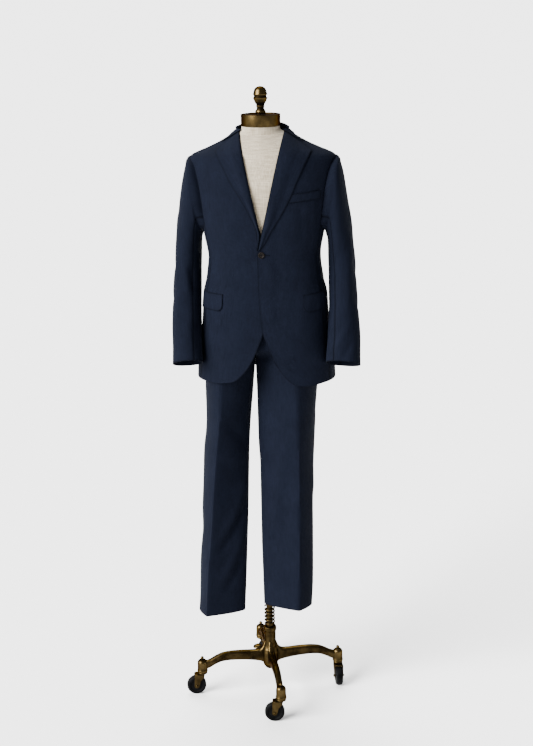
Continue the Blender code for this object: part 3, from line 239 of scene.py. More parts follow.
def smoothTable(x, xs, ys):
    # a cubic curve through the table's points that never overshoots them
    xs, ys = np.asarray(xs, float), np.asarray(ys, float)
    step = np.diff(xs)
    slope = np.diff(ys) / step
    tangent = np.empty_like(ys)
    tangent[0], tangent[-1] = slope[0], slope[-1]
    product = slope[:-1] * slope[1:]
    total = np.where(product > 0, slope[:-1] + slope[1:], 1.0)
    tangent[1:-1] = np.where(product > 0, 2.0 * product / total, 0.0)
    x = np.clip(x, xs[0], xs[-1])
    i = np.clip(np.searchsorted(xs, x, side="right") - 1, 0, len(step) - 1)
    t = (x - xs[i]) / step[i]
    return (ys[i] * (1 + 2 * t) * (1 - t) ** 2 + ys[i + 1] * t * t * (3 - 2 * t)
            + step[i] * (tangent[i] * t * (1 - t) ** 2 + tangent[i + 1] * t * t * (t - 1)))


def column(table, name):
    place = table[0].index(name)
    return np.array([row[place] for row in table[1:]])


def read(table, name, at, key="z"):
    return smoothTable(at, column(table, key), column(table, name))


def ease(t):
    # 0 below 0, 1 above 1, a smooth step between
    t = np.clip(t, 0.0, 1.0)
    return t * t * (3.0 - 2.0 * t)


def unit(vectors):
    return vectors / np.maximum(np.linalg.norm(vectors, axis=-1, keepdims=True), 1e-9)


def inPlace(points):
    # the garment's points turned by its yaw and moved to its centre line
    x, y, z = np.moveaxis(points, -1, 0)
    c, s = math.cos(garment["yaw"]), math.sin(garment["yaw"])
    return np.stack([garment["centreX"] + c * x - s * y, s * x + c * y, z], -1)


def tilted(points):
    # the skirt hangs lower on the left: each point drops by its x times the tilt, but rises again towards
    # the left side seam, and both fade out at the waist
    fade = 1.0 - ease((points[..., 2] - 1.2) / 0.28)
    height, start, span = garment["hemRise"]
    moved = points.copy()
    rise = height * ease((points[..., 0] - start) / span)
    moved[..., 2] += fade * (rise - garment["hemTilt"] * points[..., 0])
    return moved


def rounded(value, power):
    # sign(v) * |v|^(2 / power), which rounds a circle out to a box as the power grows
    return np.sign(value) * np.abs(value) ** (2.0 / power)


def section(table, angle, z):
    # a rounded section: x and y are powers of the sine and cosine of the angle from the centre front
    s, c = np.sin(np.radians(angle)), np.cos(np.radians(angle))
    power = read(table, "power", z)
    depth = np.where(c > 0, -read(table, "front", z), read(table, "back", z))
    return np.stack([read(table, "halfWidth", z) * rounded(s, power),
                     depth * np.abs(c) ** (2.0 / power), z + 0.0 * s], -1)


def outward(table, angle, z):
    # unit normals, from the cross product of a step round and a step up
    around = section(table, angle + 3.0, z) - section(table, angle - 3.0, z)
    up = section(table, angle, z + 0.003) - section(table, angle, z - 0.003)
    return unit(np.cross(around, up))


def body(angle, z, out=0.0):
    # the jacket's outer surface, moved out along its normal
    angle, z = np.broadcast_arrays(np.asarray(angle, float), np.asarray(z, float))
    out = np.broadcast_to(out, angle.shape)
    return section(jacketSections, angle, z) + outward(jacketSections, angle, z) * out[..., None]


def angleAt(x, z):
    # the angle round the jacket at which its front is x from the centre line
    share = np.clip(np.abs(x) / read(jacketSections, "halfWidth", z), 0.0, 1.0)
    return np.degrees(np.arcsin(share ** (read(jacketSections, "power", z) / 2.0))) * np.sign(x)


def overlapLift(side, x):
    # the left front stands out over the right one near the centre
    return garment["overlap"] * (1.0 - ease((x - 0.02) / 0.03)) if side == "left" else 0.0 * x


def rollLine(z):
    return (z - garment["breakHeight"]) * garment["rollSlope"]


def frontEdge(z):
    # distance of a front's free edge past the centre line: cutaway, closing edge, roll line
    below = read(frontEdgeCurve, "x", z)
    above = np.maximum(rollLine(z), -0.013)
    return np.where(z > garment["buttonHeight"], above, below)


def armholeAngle(z, which):
    angle = angleAt(read(armholeCurve, which + "X", z), z)
    angle = angle + (90.0 - angle) * ease((z - 1.773) / (garment["shoulderTip"] - 1.773))
    return angle if which == "front" else 180.0 - angle


def underarmDrop(angle):
    # the armhole dips between the side seams as a parabola
    middle = 0.5 * (garment["frontSeam"] + garment["backSeam"])
    half = 0.5 * (garment["backSeam"] - garment["frontSeam"])
    return (garment["sideSeamTop"] - garment["underarm"]) * (1.0 - ((angle - middle) / half) ** 2)


def creased(points, normals, rows):
    # each line adds depth * exp(-(distance from the bowed line / width)^2), which fades at both ends of the
    # line and where the surface turns away from the face it stands under
    total = np.zeros(points.shape[:-1])
    for face, lines in rows.items():
        across = points[..., 0 if face in ("front", "back") else 1]
        facing = {"front": -normals[..., 1], "back": normals[..., 1],
                  "left": normals[..., 0], "right": -normals[..., 0]}[face]
        for line in lines:
            r = {key: value / 1000.0 for key, value in zip(creaseNames, line)}
            du, dz = r["across1"] - r["across0"], r["z1"] - r["z0"]
            length = math.hypot(du, dz)
            u, z = across - r["across0"], points[..., 2] - r["z0"]
            t = (u * du + z * dz) / length ** 2
            away = (u * dz - z * du) / length - r["bow"] * 4.0 * t * (1.0 - t)
            ends = np.clip(1.0 - (2.0 * t - 1.0) ** 4, 0.0, 1.0) * ((t > 0) & (t < 1))
            total += r["depth"] * np.exp(-(away / r["width"]) ** 2) * ends * ease((facing - 0.05) / 0.45)
    return total


def uneven(points, wave, seed):
    # a slow swell: five sine waves of different lengths and directions, averaged
    total = np.zeros(points.shape[:-1])
    for k in range(5):
        way = np.array([math.sin(seed + 2.1 * k), math.cos(1.7 * seed + 1.3 * k),
                        math.sin(0.7 * seed + 0.9 * k + 1.0)])
        way /= np.linalg.norm(way)
        total += np.sin(points @ way * 2.0 * math.pi / (wave * (1.0 + 0.37 * k)) + seed * k)
    return total / 5.0


def fromEdge(points, last=False):
    # distance along each row from its first or last column
    run = np.linalg.norm(np.diff(points, axis=1), axis=-1)
    if last:
        run = run[:, ::-1]
    run = np.concatenate([np.zeros((len(points), 1)), np.cumsum(run, axis=1)], axis=1)
    return run[:, ::-1] if last else run


def seamDip(points, first=True, last=True, depth=0.0007, reach=0.0022):
    # the cloth turns in at a seam: depth * exp(-(distance from the seam / reach)^2)
    dip = np.zeros(points.shape[:-1])
    for wanted, far in ((first, False), (last, True)):
        if wanted:
            dip -= depth * np.exp(-(fromEdge(points, far) / reach) ** 2)
    return dip


def shares(length, step, edge=0.0014):
    # 0 to 1 in even steps, with closer ones at both ends for the turned edge
    near = np.array([edge, 2.6 * edge]) / length
    middle = np.linspace(0.0, 1.0, max(int(round(length / step)), 3) + 1)[1:-1]
    middle = middle[(middle > near[1] * 1.5) & (middle < 1.0 - near[1] * 1.5)]
    return np.concatenate([[0.0], near, middle, 1.0 - near[::-1], [1.0]])


def narrowed(grid):
    # outer columns drawn in by half a seam's gap
    grid = grid.copy()
    for edge, inside in ((0, 1), (-1, -2)):
        way = grid[:, inside] - grid[:, edge]
        length = np.maximum(np.linalg.norm(way, axis=-1, keepdims=True), 1e-6)
        grid[:, edge] += way / length * np.minimum(garment["seam"], 0.3 * length)
    return grid


def gridNormals(points):
    # cross product of the steps round and along
    return unit(np.cross(np.gradient(points, axis=1), np.gradient(points, axis=0)))


def splineRows(control, at):
    # rows of points read at fractional row numbers by a Catmull-Rom curve down each column
    control = np.concatenate([2 * control[:1] - control[1:2], control, 2 * control[-1:] - control[-2:-1]])
    i = np.clip(np.floor(at).astype(int), 0, len(control) - 4)
    t = (at - i)[:, None, None] if control.ndim == 3 else (at - i)[:, None]
    a, b, c, d = (control[i + k] for k in range(4))
    return 0.5 * (2 * b + (c - a) * t + (2 * a - 5 * b + 4 * c - d) * t ** 2
                  + (3 * b - a - 3 * c + d) * t ** 3)


def placed(name, data):
    thing = bpy.data.objects.new(name, data)
    bpy.context.scene.collection.objects.link(thing)
    return thing


def meshObject(name, points, faces, uv=None, sharp=None, **attributes):
    # a smooth mesh whose edges above "sharp" degrees stay sharp
    mesh = bpy.data.meshes.new(name)
    mesh.from_pydata(points.tolist(), [], faces if isinstance(faces, list) else faces.tolist())
    if uv is not None:
        layer = mesh.uv_layers.new(name="cloth")
        corner = np.empty(len(mesh.loops), int)
        mesh.loops.foreach_get("vertex_index", corner)
        layer.data.foreach_set("uv", uv[corner].astype(np.float32).ravel())
    for key, values in attributes.items():
        made = mesh.attributes.new(key, "FLOAT", "POINT")
        made.data.foreach_set("value", values.astype(np.float32).ravel())
    mesh.shade_smooth()
    if sharp:
        mesh.set_sharp_from_angle(angle=math.radians(sharp))
    mesh.update()
    return placed(name, mesh)


def bevelled(thing, name, width, segments, degrees):
    edge = thing.modifiers.new(name, "BEVEL")
    edge.width, edge.segments = width, segments
    edge.limit_method = "ANGLE"
    edge.angle_limit = math.radians(degrees)
    return thing


# "pressed": how far in from each cloth edge the painted shade reaches, in metres
rim = {"bevel": 0.00055, "degrees": 62.0, "pressed": 0.0027}


def clothWall(name, outer, inner):
    # one closed wall between an outer and an inner grid, with a rounded rim; its UV map is in metres and
    # "pressed" is a painted-shade mask, 1 at the grid's edges, exp(-(distance / 2.7 mm)^2) further in
    count = outer.shape[0] * outer.shape[1]
    index = np.arange(count).reshape(outer.shape[:2])
    skin = np.stack([index[:-1, :-1], index[:-1, 1:], index[1:, 1:], index[1:, :-1]], -1).reshape(-1, 4)
    loop = np.concatenate([index[0, :-1], index[:-1, -1], index[-1, :0:-1], index[:0:-1, 0]])
    after = np.roll(loop, -1)
    edge = np.stack([after, loop, loop + count, after + count], -1)
    faces = np.concatenate([skin, skin[:, ::-1] + count, edge])
    points = np.concatenate([outer.reshape(-1, 3), inner.reshape(-1, 3)])
    down = np.swapaxes(outer, 0, 1)
    across, up = fromEdge(outer), fromEdge(down).T
    uv = np.tile(np.stack([across, up], -1).reshape(-1, 2), (2, 1))
    near = np.minimum(np.minimum(across, fromEdge(outer, True)), np.minimum(up, fromEdge(down, True).T))
    # painted shade: a darkening mask that is 1 along every edge and seam of the piece
    pressed = np.tile(np.exp(-(near / rim["pressed"]) ** 2).ravel(), 2)
    thing = meshObject(name, points, faces, uv, pressed=pressed)
    return bevelled(thing, "turnedEdge", rim["bevel"], 2, rim["degrees"])


def revolve(name, profile, segments=64, centre=(0.0, 0.0, 0.0), axis=None):
    # a profile of radii and heights, top to bottom, carried round the Z axis; poles are single points.
    # "wear" is how far the profile stands out from its own running average
    profile = np.asarray(profile, float)
    turn = np.linspace(0.0, 2.0 * math.pi, segments, endpoint=False)
    radius, height = profile[:, 0], profile[:, 1]
    ring = np.stack([radius[:, None] * np.cos(turn), radius[:, None] * np.sin(turn),
                     np.repeat(height[:, None], segments, axis=1)], -1)
    index = np.arange(ring.shape[0] * segments).reshape(-1, segments)
    after = np.roll(index, -1, axis=1)
    closed = radius[0] > 1e-6 and radius[-1] > 1e-6
    faces = np.stack([index[:-1], index[1:], after[1:], after[:-1]], -1).reshape(-1, 4)
    if closed:
        wrap = np.stack([index[-1], index[0], after[0], after[-1]], -1)
        faces = np.concatenate([faces, wrap])
    padded = np.pad(radius, 4, mode="edge")
    average = np.convolve(padded, np.ones(9) / 9.0, mode="valid")
    wear = np.repeat(np.clip(0.5 + (radius - average) / 0.003, 0.0, 1.0), segments)
    points = ring.reshape(-1, 3)
    if axis is not None:
        points = points @ np.array(Vector((0, 0, 1)).rotation_difference(Vector(axis)).to_matrix()).T
    thing = meshObject(name, points + np.array(centre), faces, wear=wear)
    if not closed:
        work = bmesh.new()
        work.from_mesh(thing.data)
        bmesh.ops.remove_doubles(work, verts=work.verts, dist=1e-6)
        bmesh.ops.dissolve_degenerate(work, edges=work.edges, dist=1e-6)
        work.to_mesh(thing.data)
        work.free()
        thing.data.shade_smooth()
    thing.data.set_sharp_from_angle(angle=math.radians(50.0))
    return thing


def roundedProfile(corners, bend=0.0008, steps=4):
    # each corner of a profile is replaced by a short parabola between points "bend" away from it
    corners = np.asarray(corners, float)
    made = [corners[0]]
    for before, here, after in zip(corners[:-2], corners[1:-1], corners[2:]):
        into, out = before - here, after - here
        reachIn = min(bend, 0.45 * np.linalg.norm(into))
        reachOut = min(bend, 0.45 * np.linalg.norm(out))
        a = here + unit(into) * reachIn
        b = here + unit(out) * reachOut
        t = np.linspace(0.0, 1.0, steps)[:, None]
        made.extend(a * (1 - t) ** 2 + 2 * here * t * (1 - t) + b * t ** 2)
    made.append(corners[-1])
    return np.array(made)


def sweep(name, rings, wear=None):
    # a closed solid through rings of points, its ends closed by fans
    rows, columns = rings.shape[:2]
    index = np.arange(rows * columns).reshape(rows, columns)
    after = np.roll(index, -1, axis=1)
    faces = np.stack([index[:-1], after[:-1], after[1:], index[1:]], -1).reshape(-1, 4).tolist()
    points = np.concatenate([rings.reshape(-1, 3), rings[:1].mean(1), rings[-1:].mean(1)])
    for number, near, far in ((0, after[0], index[0]), (1, index[-1], after[-1])):
        pole = np.full(columns, rows * columns + number)
        faces += np.stack([near, far, pole], -1).tolist()
    values = np.full(len(points), 0.5) if wear is None else np.append(wear, [0.5, 0.5])
    return meshObject(name, points, faces, sharp=50.0, wear=values)


def tube(name, path, radius, sidesRound=12):
    # a circle carried along a path, on the normals of the path's own bend
    path = np.asarray(path, float)
    along = unit(np.gradient(path, axis=0))
    reference = np.array([0.0, 0.0, 1.0]) if abs(along[:, 2]).max() < 0.95 else np.array([0.0, 1.0, 0.0])
    side = unit(np.cross(along, reference))
    up = np.cross(side, along)
    turn = np.linspace(0.0, 2.0 * math.pi, sidesRound, endpoint=False)
    radius = np.broadcast_to(np.asarray(radius, float), len(path))[:, None, None]
    rings = path[:, None] + radius * (side[:, None] * np.cos(turn)[None, :, None]
                                      - up[:, None] * np.sin(turn)[None, :, None])
    return sweep(name, rings[:, ::-1])


def plate(name, outline, thickness, origin, xAxis, yAxis, bevel=0.0006):
    # a flat outline given in its own plane, with half its thickness on each side
    outline = np.asarray(outline, float)
    xAxis, yAxis = unit(np.asarray(xAxis, float)), unit(np.asarray(yAxis, float))
    zAxis = np.cross(xAxis, yAxis)
    flat = np.asarray(origin) + outline[:, :1] * xAxis + outline[:, 1:] * yAxis
    count = len(outline)
    points = np.concatenate([flat - zAxis * 0.5 * thickness, flat + zAxis * 0.5 * thickness])
    faces = [list(range(count))[::-1], list(range(count, 2 * count))]
    faces += [[i, (i + 1) % count, (i + 1) % count + count, i + count] for i in range(count)]
    thing = meshObject(name, points, faces, sharp=40.0, wear=np.full(2 * count, 0.5))
    return bevelled(thing, "soft", bevel, 3, 30.0)


print("materials")

finishes = {
    "cloth": {"dark": (0.0012, 0.0016, 0.0034), "light": (0.0049, 0.0064, 0.0128), "yarn": 0.00055,
              # "edge": how far the painted shade along cloth edges and seams draws the colour towards black
              "rough": 0.85, "edge": 0.55, "sheen": 0.006, "sheenTint": (0.62, 0.74, 1.0)},
    "linen": {"dark": (0.16, 0.13, 0.09), "light": (0.29, 0.25, 0.185), "yarn": 0.0011},
    "brass": {"dark": (0.0045, 0.0028, 0.0012), "light": (0.044, 0.0295, 0.0108), "rough": 0.34},
    "horn": {"dark": (0.0016, 0.0013, 0.0013), "light": (0.0065, 0.0048, 0.004)},
    "rubber": {"dark": (0.0009, 0.0009, 0.001), "light": (0.0026, 0.0026, 0.0028)},
    "thread": {"dark": (0.0006, 0.0008, 0.0014), "light": (0.002, 0.0026, 0.0045)},
}


class NodeSheet:
    # a small helper that adds and links nodes in one material
    def __init__(self, name):
        self.material = bpy.data.materials.new(name)
        self.material.use_nodes = True
        self.tree = self.material.node_tree
        self.shader = self.tree.nodes["Principled BSDF"]

    def add(self, kind, settings=None, **inputs):
        node = self.tree.nodes.new(kind)
        for key, value in (settings or {}).items():
            setattr(node, key, value)
        for key, value in inputs.items():
            self.feed(node.inputs[int(key[1:]) if key[0] == "_" else key], value)
        return node

    def feed(self, socket, value):
        if isinstance(value, bpy.types.NodeSocket):
            self.tree.links.new(value, socket)
        elif isinstance(value, tuple) and len(value) == 3 and socket.type == "RGBA":
            socket.default_value = (*value, 1.0)
        else:
            socket.default_value = value

    def maths(self, operation, a, b=0.0):
        return self.add("ShaderNodeMath", {"operation": operation}, _0=a, _1=b).outputs[0]

    def plus(self, a, b):
        return self.maths("ADD", a, b)

    def times(self, a, b):
        return self.maths("MULTIPLY", a, b)

    def mix(self, factor, a, b):
        node = self.add("ShaderNodeMix", {"data_type": "RGBA"})
        for number, given in ((0, factor), (6, a), (7, b)):
            self.feed(node.inputs[number], given)
        return node.outputs[2]

    def spread(self, value, low, high, toLow=0.0, toHigh=1.0):
        node = self.add("ShaderNodeMapRange")
        for key, given in (("Value", value), ("From Min", low), ("From Max", high),
                           ("To Min", toLow), ("To Max", toHigh)):
            self.feed(node.inputs[key], given)
        return node.outputs[0]

    def noise(self, vector, scale, detail, rough=0.5):
        node = self.add("ShaderNodeTexNoise", Vector=vector, Scale=scale, Detail=detail, Roughness=rough)
        return node.outputs[0]

    def stretched(self, vector, scale, detail):
        return self.noise(self.add("ShaderNodeMapping", Vector=vector, Scale=scale).outputs[0], 1.0, detail)

    def place(self):
        return self.add("ShaderNodeTexCoord").outputs["Object"]

    def attribute(self, name):
        return self.add("ShaderNodeAttribute", {"attribute_name": name}).outputs["Fac"]

    def bump(self, height, distance, strength):
        node = self.add("ShaderNodeBump", Height=height, Distance=distance, Strength=strength)
        self.tree.links.new(node.outputs[0], self.shader.inputs["Normal"])

    def set(self, **values):
        for key, value in values.items():
            self.feed(self.shader.inputs[key.replace("_", " ")], value)


def worstedCloth():
    # a fine two-tone twill: warp and weft threads as sine ridges on the UV map in metres, lighter weft
    # showing where the diagonal of the twill lets it through, with slow slubs along both threads. Painted
    # shade darkens the colour along every edge and seam, where the "pressed" attribute is high
    f, s = finishes["cloth"], NodeSheet("navyWorsted")
    uv = s.add("ShaderNodeUVMap", {"uv_map": "cloth"}).outputs[0]
    across, up = s.add("ShaderNodeSeparateXYZ", Vector=uv).outputs[:2]
    turn, yarn = 2 * math.pi, f["yarn"]
    warp = s.maths("SINE", s.times(across, turn / yarn))
    weft = s.maths("SINE", s.times(up, turn / (yarn * 1.15)))
    twill = s.maths("SINE", s.plus(s.times(across, turn / (yarn * 2.0)), s.times(up, -turn / (yarn * 1.35))))
    warpSlub = s.stretched(uv, (1400.0, 60.0, 1.0), 3.0)
    weftSlub = s.stretched(uv, (60.0, 1300.0, 1.0), 3.0)
    cloud = s.noise(s.place(), 16.0, 3.0)
    streak = s.stretched(uv, (300.0, 22.0, 1.0), 2.0)
    tone = s.plus(s.spread(s.plus(warpSlub, weftSlub), 0.7, 1.3, 0.18, 0.82), s.times(twill, 0.1))
    tone = s.plus(tone, s.spread(cloud, 0.3, 0.7, -0.1, 0.1))
    tone = s.plus(tone, s.spread(streak, 0.3, 0.7, -0.14, 0.14))
    shade = s.mix(s.times(tone, 0.62), f["dark"], f["light"])
    # painted shade: the colour is drawn towards black along edges and seams by the "pressed" mask times
    # "edge"
    s.set(Base_Color=s.mix(s.times(s.attribute("pressed"), f["edge"]), shade, (0.0, 0.0, 0.0)),
          Roughness=s.spread(warpSlub, 0.3, 0.7, f["rough"] - 0.06, f["rough"] + 0.06),
          Sheen_Weight=f["sheen"], Sheen_Roughness=0.42, Sheen_Tint=(*f["sheenTint"], 1.0),
          Specular_IOR_Level=0.02)
    s.bump(s.plus(s.times(s.plus(warp, weft), 0.25), s.times(twill, 0.5)), 0.00012, 0.55)
    return s.material


def linenCloth():
    # an open plain weave on Object coordinates: sine threads both ways with slubs and small flecks
    f, s = finishes["linen"], NodeSheet("ecruLinen")
    place = s.place()
    parts = s.add("ShaderNodeSeparateXYZ", Vector=place).outputs
    turn = math.pi / f["yarn"]
    across, up = (s.maths("ABSOLUTE", s.maths("SINE", s.times(parts[k], turn))) for k in (0, 2))
    slub = s.stretched(place, (420.0, 420.0, 26.0), 3.0)
    slubUp = s.stretched(place, (26.0, 26.0, 420.0), 3.0)
    cloud = s.noise(place, 9.0, 3.0)
    tone = s.plus(s.spread(s.plus(slub, slubUp), 0.72, 1.28), s.spread(cloud, 0.3, 0.7, -0.12, 0.12))
    s.set(Base_Color=s.mix(tone, f["dark"], f["light"]), Roughness=0.88, Specular_IOR_Level=0.25,
          Sheen_Weight=0.12, Sheen_Roughness=0.5)
    s.bump(s.plus(s.plus(across, up), slub), 0.00025, 0.6)
    return s.material


def antiqueBrass():
    # gold on the worn crests, brown in the hollows: the wear attribute, mottled by noise
    f, s = finishes["brass"], NodeSheet("antiqueBrass")
    place = s.place()
    cloud, speck = s.noise(place, 38.0, 5.0, 0.62), s.noise(place, 420.0, 3.0, 0.6)
    amount = s.plus(s.times(s.attribute("wear"), 0.75), s.spread(cloud, 0.32, 0.68, -0.22, 0.3))
    amount = s.spread(s.plus(amount, s.spread(speck, 0.35, 0.65, -0.1, 0.1)), 0.05, 0.85)
    s.set(Base_Color=s.mix(amount, f["dark"], f["light"]), Metallic=1.0,
          Specular_Tint=(0.3, 0.21, 0.095, 1.0),
          Roughness=s.spread(amount, 0.0, 1.0, f["rough"] + 0.16, f["rough"] - 0.08))
    s.bump(s.plus(cloud, s.times(speck, 0.4)), 0.0004, 0.3)
    return s.material


def darkHorn():
    # dark horn with long cloudy streaks
    f, s = finishes["horn"], NodeSheet("darkHorn")
    streak = s.stretched(s.place(), (260.0, 260.0, 900.0), 4.0)
    s.set(Base_Color=s.mix(s.spread(streak, 0.38, 0.66), f["dark"], f["light"]), Roughness=0.3,
          Specular_IOR_Level=0.035)
    s.bump(streak, 0.0002, 0.15)
    return s.material


def blackRubber():
    # matt black with dust in the fine grain
    f, s = finishes["rubber"], NodeSheet("blackRubber")
    place = s.place()
    grain, cloud = s.noise(place, 900.0, 2.0), s.noise(place, 60.0, 4.0)
    s.set(Base_Color=s.mix(s.spread(cloud, 0.35, 0.7), f["dark"], f["light"]),
          Roughness=s.spread(cloud, 0.3, 0.7, 0.38, 0.6), Specular_IOR_Level=0.02)
    s.bump(grain, 0.0003, 0.25)
    return s.material


def navyThread():
    f, s = finishes["thread"], NodeSheet("navyThread")
    twist = s.stretched(s.place(), (1500.0, 1500.0, 5000.0), 2.0)
    s.set(Base_Color=s.mix(twist, f["dark"], f["light"]), Roughness=0.6, Specular_IOR_Level=0.02)
    s.bump(twist, 0.0001, 0.5)
    return s.material


finish = {"cloth": worstedCloth(), "linen": linenCloth(), "brass": antiqueBrass(), "horn": darkHorn(),
          "rubber": blackRubber(), "thread": navyThread()}


def dress(thing, kind, bodyName, *nodes):
    # one finish, one body and the CAD nodes that the piece stands for
    thing.data.materials.clear()
    thing.data.materials.append(finish[kind])
    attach(thing, bodyName)
    if nodes:
        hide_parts(*nodes)
    return thing


def clothPiece(name, node, pair, cut):
    # the wall between a pair of grids, with its node and the flat size of its cut
    thing = clothWall(name, *pair)
    dress(thing, "cloth", "figure", node)
    grid = pair[0]
    cells = np.cross(grid[1:, :-1] - grid[:-1, :-1], grid[:-1, 1:] - grid[:-1, :-1])
    cloth = float(np.linalg.norm(cells, axis=-1).sum())
    print(f"  {name}: cloth {cloth:.4f} of a cut of {cut['area']:.4f} m2")


panelCut = {
    "front": {"flat": (0.34, 0.8), "area": 0.15}, "side": {"flat": (0.15, 0.52), "area": 0.066},
    "back": {"flat": (0.24, 0.8), "area": 0.15},
}
panelShape = {"fade": 0.02, "swell": 0.0009, "wave": 0.11, "neckFade": 0.05}


def jacketPanel(kind, side, angle, level, lift=0.0, seams=(True, True)):
    # a panel of the jacket's body: its surface, moved out by folds, a slow swell and the turned seams. Folds
    # and swell are the same on both sides of a seam and fade out over the last 20 mm before the armhole
    flip = np.array([sides[side], 1.0, 1.0])
    rows = {"front": frontCreases[side], **sideCreases, "back": backCreases}
    base, normal = body(angle, level), outward(jacketSections, angle, level)
    fade = panelShape["fade"]
    if kind == "side":
        held = ease((level[-1:] - level) / fade)
    else:
        far = ease(fromEdge(base, kind == "front") / fade)
        held = 1.0 - (1.0 - far) * ease((level - garment["sideSeamTop"] + fade) / fade)
    swell = panelShape["swell"] * uneven(base * flip, panelShape["wave"], 1.0)
    out = lift + held * (creased(base * flip, normal * flip, rows) + swell)
    out = out * ease((garment["neckSeam"] - level + 0.004) / panelShape["neckFade"]) + seamDip(base, *seams)
    outer, inner = (base + normal * (out - d)[..., None] for d in (0.0, garment["wall"]))
    if sides[side] < 0:
        outer, inner = (g[:, ::-1] * flip for g in (outer, inner))
    pair = [inPlace(tilted(g)) for g in (narrowed(outer), inner)]  # the insides meet at each seam
    clothPiece(f"{side}{kind.title()}", f"jacket_{kind}_{side}", pair, panelCut[kind])


def jacketLevels():
    # heights of the jacket's rows: close together at the turned hem, at the cutaway and up the shoulder
    hem, sideTop, tip = garment["hem"], garment["sideSeamTop"], garment["shoulderTip"]
    low = hem + np.array([0.0, 0.0007, 0.0018, 0.0032, 0.005, 0.0072, 0.01, 0.0135, 0.018, 0.023])
    middle = np.arange(hem + 0.0285, sideTop, garment["step"])
    middle = middle[middle < sideTop - 0.003]
    top = tip + (garment["neckSeam"] - tip) * np.linspace(0, 1, 19)[1:]
    return np.concatenate([low, middle, np.linspace(sideTop, tip, 38), top])


def outerEdge(z, which):
    # the angle of a front's or back's outer edge: side seam, armhole, shoulder seam
    edge = np.where(z <= garment["sideSeamTop"], garment[which + "Seam"], armholeAngle(z, which))
    return np.where(z >= garment["shoulderTip"], 90.0, edge)


def buildFront(side):
    z = jacketLevels()
    inner, outer = angleAt(frontEdge(z), z), outerEdge(z, "front")
    angle = inner[:, None] + (outer - inner)[:, None] * shares(0.24, garment["step"])
    level = np.repeat(z[:, None], angle.shape[1], axis=1)
    lift = overlapLift(side, section(jacketSections, angle, level)[..., 0])
    jacketPanel("front", side, angle, level, lift, (False, True))


def sideLevels(angle, z):
    weight = ease((z - 1.42) / (garment["sideSeamTop"] - 1.42))
    return z[:, None] - weight[:, None] * underarmDrop(angle)


def buildSide(side):
    z = jacketLevels()
    z = z[z <= garment["sideSeamTop"] + 1e-6]
    first, last = garment["frontSeam"], garment["backSeam"]
    angle = first + (last - first) * shares(0.13, garment["step"])
    jacketPanel("side", side, np.repeat(angle[None], len(z), 0), sideLevels(angle, z))


def buildBack(side):
    z = jacketLevels()
    edge = outerEdge(z, "back")
    angle = edge[:, None] + (180.0 - edge)[:, None] * shares(0.2, garment["step"])
    jacketPanel("back", side, angle, np.repeat(z[:, None], angle.shape[1], axis=1))


print("jacket body")
for side in sides:
    buildFront(side)
    buildSide(side)
    buildBack(side)


def armholeLoop():
    # from the shoulder tip down the front, under the arm and up the back
    z = np.linspace(garment["sideSeamTop"], garment["shoulderTip"], 27)
    underAngle = np.linspace(garment["frontSeam"], garment["backSeam"], 17)
    underLevel = sideLevels(underAngle, np.array([garment["sideSeamTop"]]))[0]
    angle = np.concatenate([armholeAngle(z[:0:-1], "front"), underAngle, armholeAngle(z[1:-1], "back")])
    level = np.concatenate([z[:0:-1], underLevel, z[1:-1]])
    return body(angle, level), outward(jacketSections, angle, level)


def tuckedEdge(wall):
    # the sleeve's turned-in edge, two rows below the body's wall: one 4 mm in from the armhole, one at it
    loop, facing = armholeLoop()
    along = unit(np.roll(loop, -1, axis=0) - np.roll(loop, 1, axis=0))
    inward = loop - loop.mean(0)
    for way in (facing, along):
        inward = inward - (inward * way).sum(-1, keepdims=True) * way
    return np.array([loop + unit(inward) * reach - facing * (garment["wall"] + 0.0009 + 0.5 * wall)
                     for reach in (0.004, -0.0002)])


def sleeveRings(side):
    # the first ring lies along the armhole; each later ring is a rounded ellipse between its outer and
    # inner points, and its points slide from the armhole's spacing to an even one
    start = armholeLoop()[0]
    middleZ = 0.5 * (garment["underarm"] + garment["shoulderTip"])
    roundAngle = np.unwrap(np.arctan2(-start[:, 1] / 0.072, (start[:, 2] - middleZ) / 0.117))
    even = np.linspace(0.0, 2.0 * math.pi, len(start), endpoint=False)
    first = start.copy()
    first[:, 0] += garment["gap"]
    rings = [first]
    count = len(sleeveRows) - 1
    for number in range(count):
        row = dict(zip(sleeveRows[0], sleeveRows[number + 1]))
        turn = roundAngle + (even - roundAngle) * ease((number + 1) / count * 1.6)
        across, deep = rounded(np.cos(turn), 2.15), rounded(np.sin(turn), 2.15)
        tilt = math.radians(row["tilt"])
        midX, midZ = 0.5 * (row["outerX"] + row["innerX"]), 0.5 * (row["outerZ"] + row["innerZ"])
        halfX, halfZ = 0.5 * (row["outerX"] - row["innerX"]), 0.5 * (row["outerZ"] - row["innerZ"])
        widened = 0.5 * sleeveReach[side] * ease((1.4 - midZ) / 0.25)
        rings.append(np.stack([
            midX + widened + across * (halfX + widened),
            row["middleY"] - deep * row["depth"] * math.cos(tilt),
            midZ + across * halfZ + deep * row["depth"] * math.sin(tilt)], -1))
    rings = np.array(rings)
    at = np.concatenate([[0.0, 0.05, 0.14, 0.28, 0.45, 0.65, 0.82], np.arange(1.0, 9.999, 0.115), [10.0],
                         10.0 + np.linspace(0, 1, 14)[1:-1], [10.965, 10.988, 11.0]])
    return splineRows(rings, at)


sleeveCut = {"upper": {"flat": (0.27, 0.72), "area": 0.147}, "under": {"flat": (0.15, 0.58), "area": 0.066}}
sleeveShape = {"frontSeam": 23, "backSeam": 19, "swell": 0.0016, "wave": 0.1, "fade": 0.05,
               "head": 0.0022, "headAt": 0.014, "headWidth": 0.01, "tuck": 0.001, "tuckWidth": 0.003}


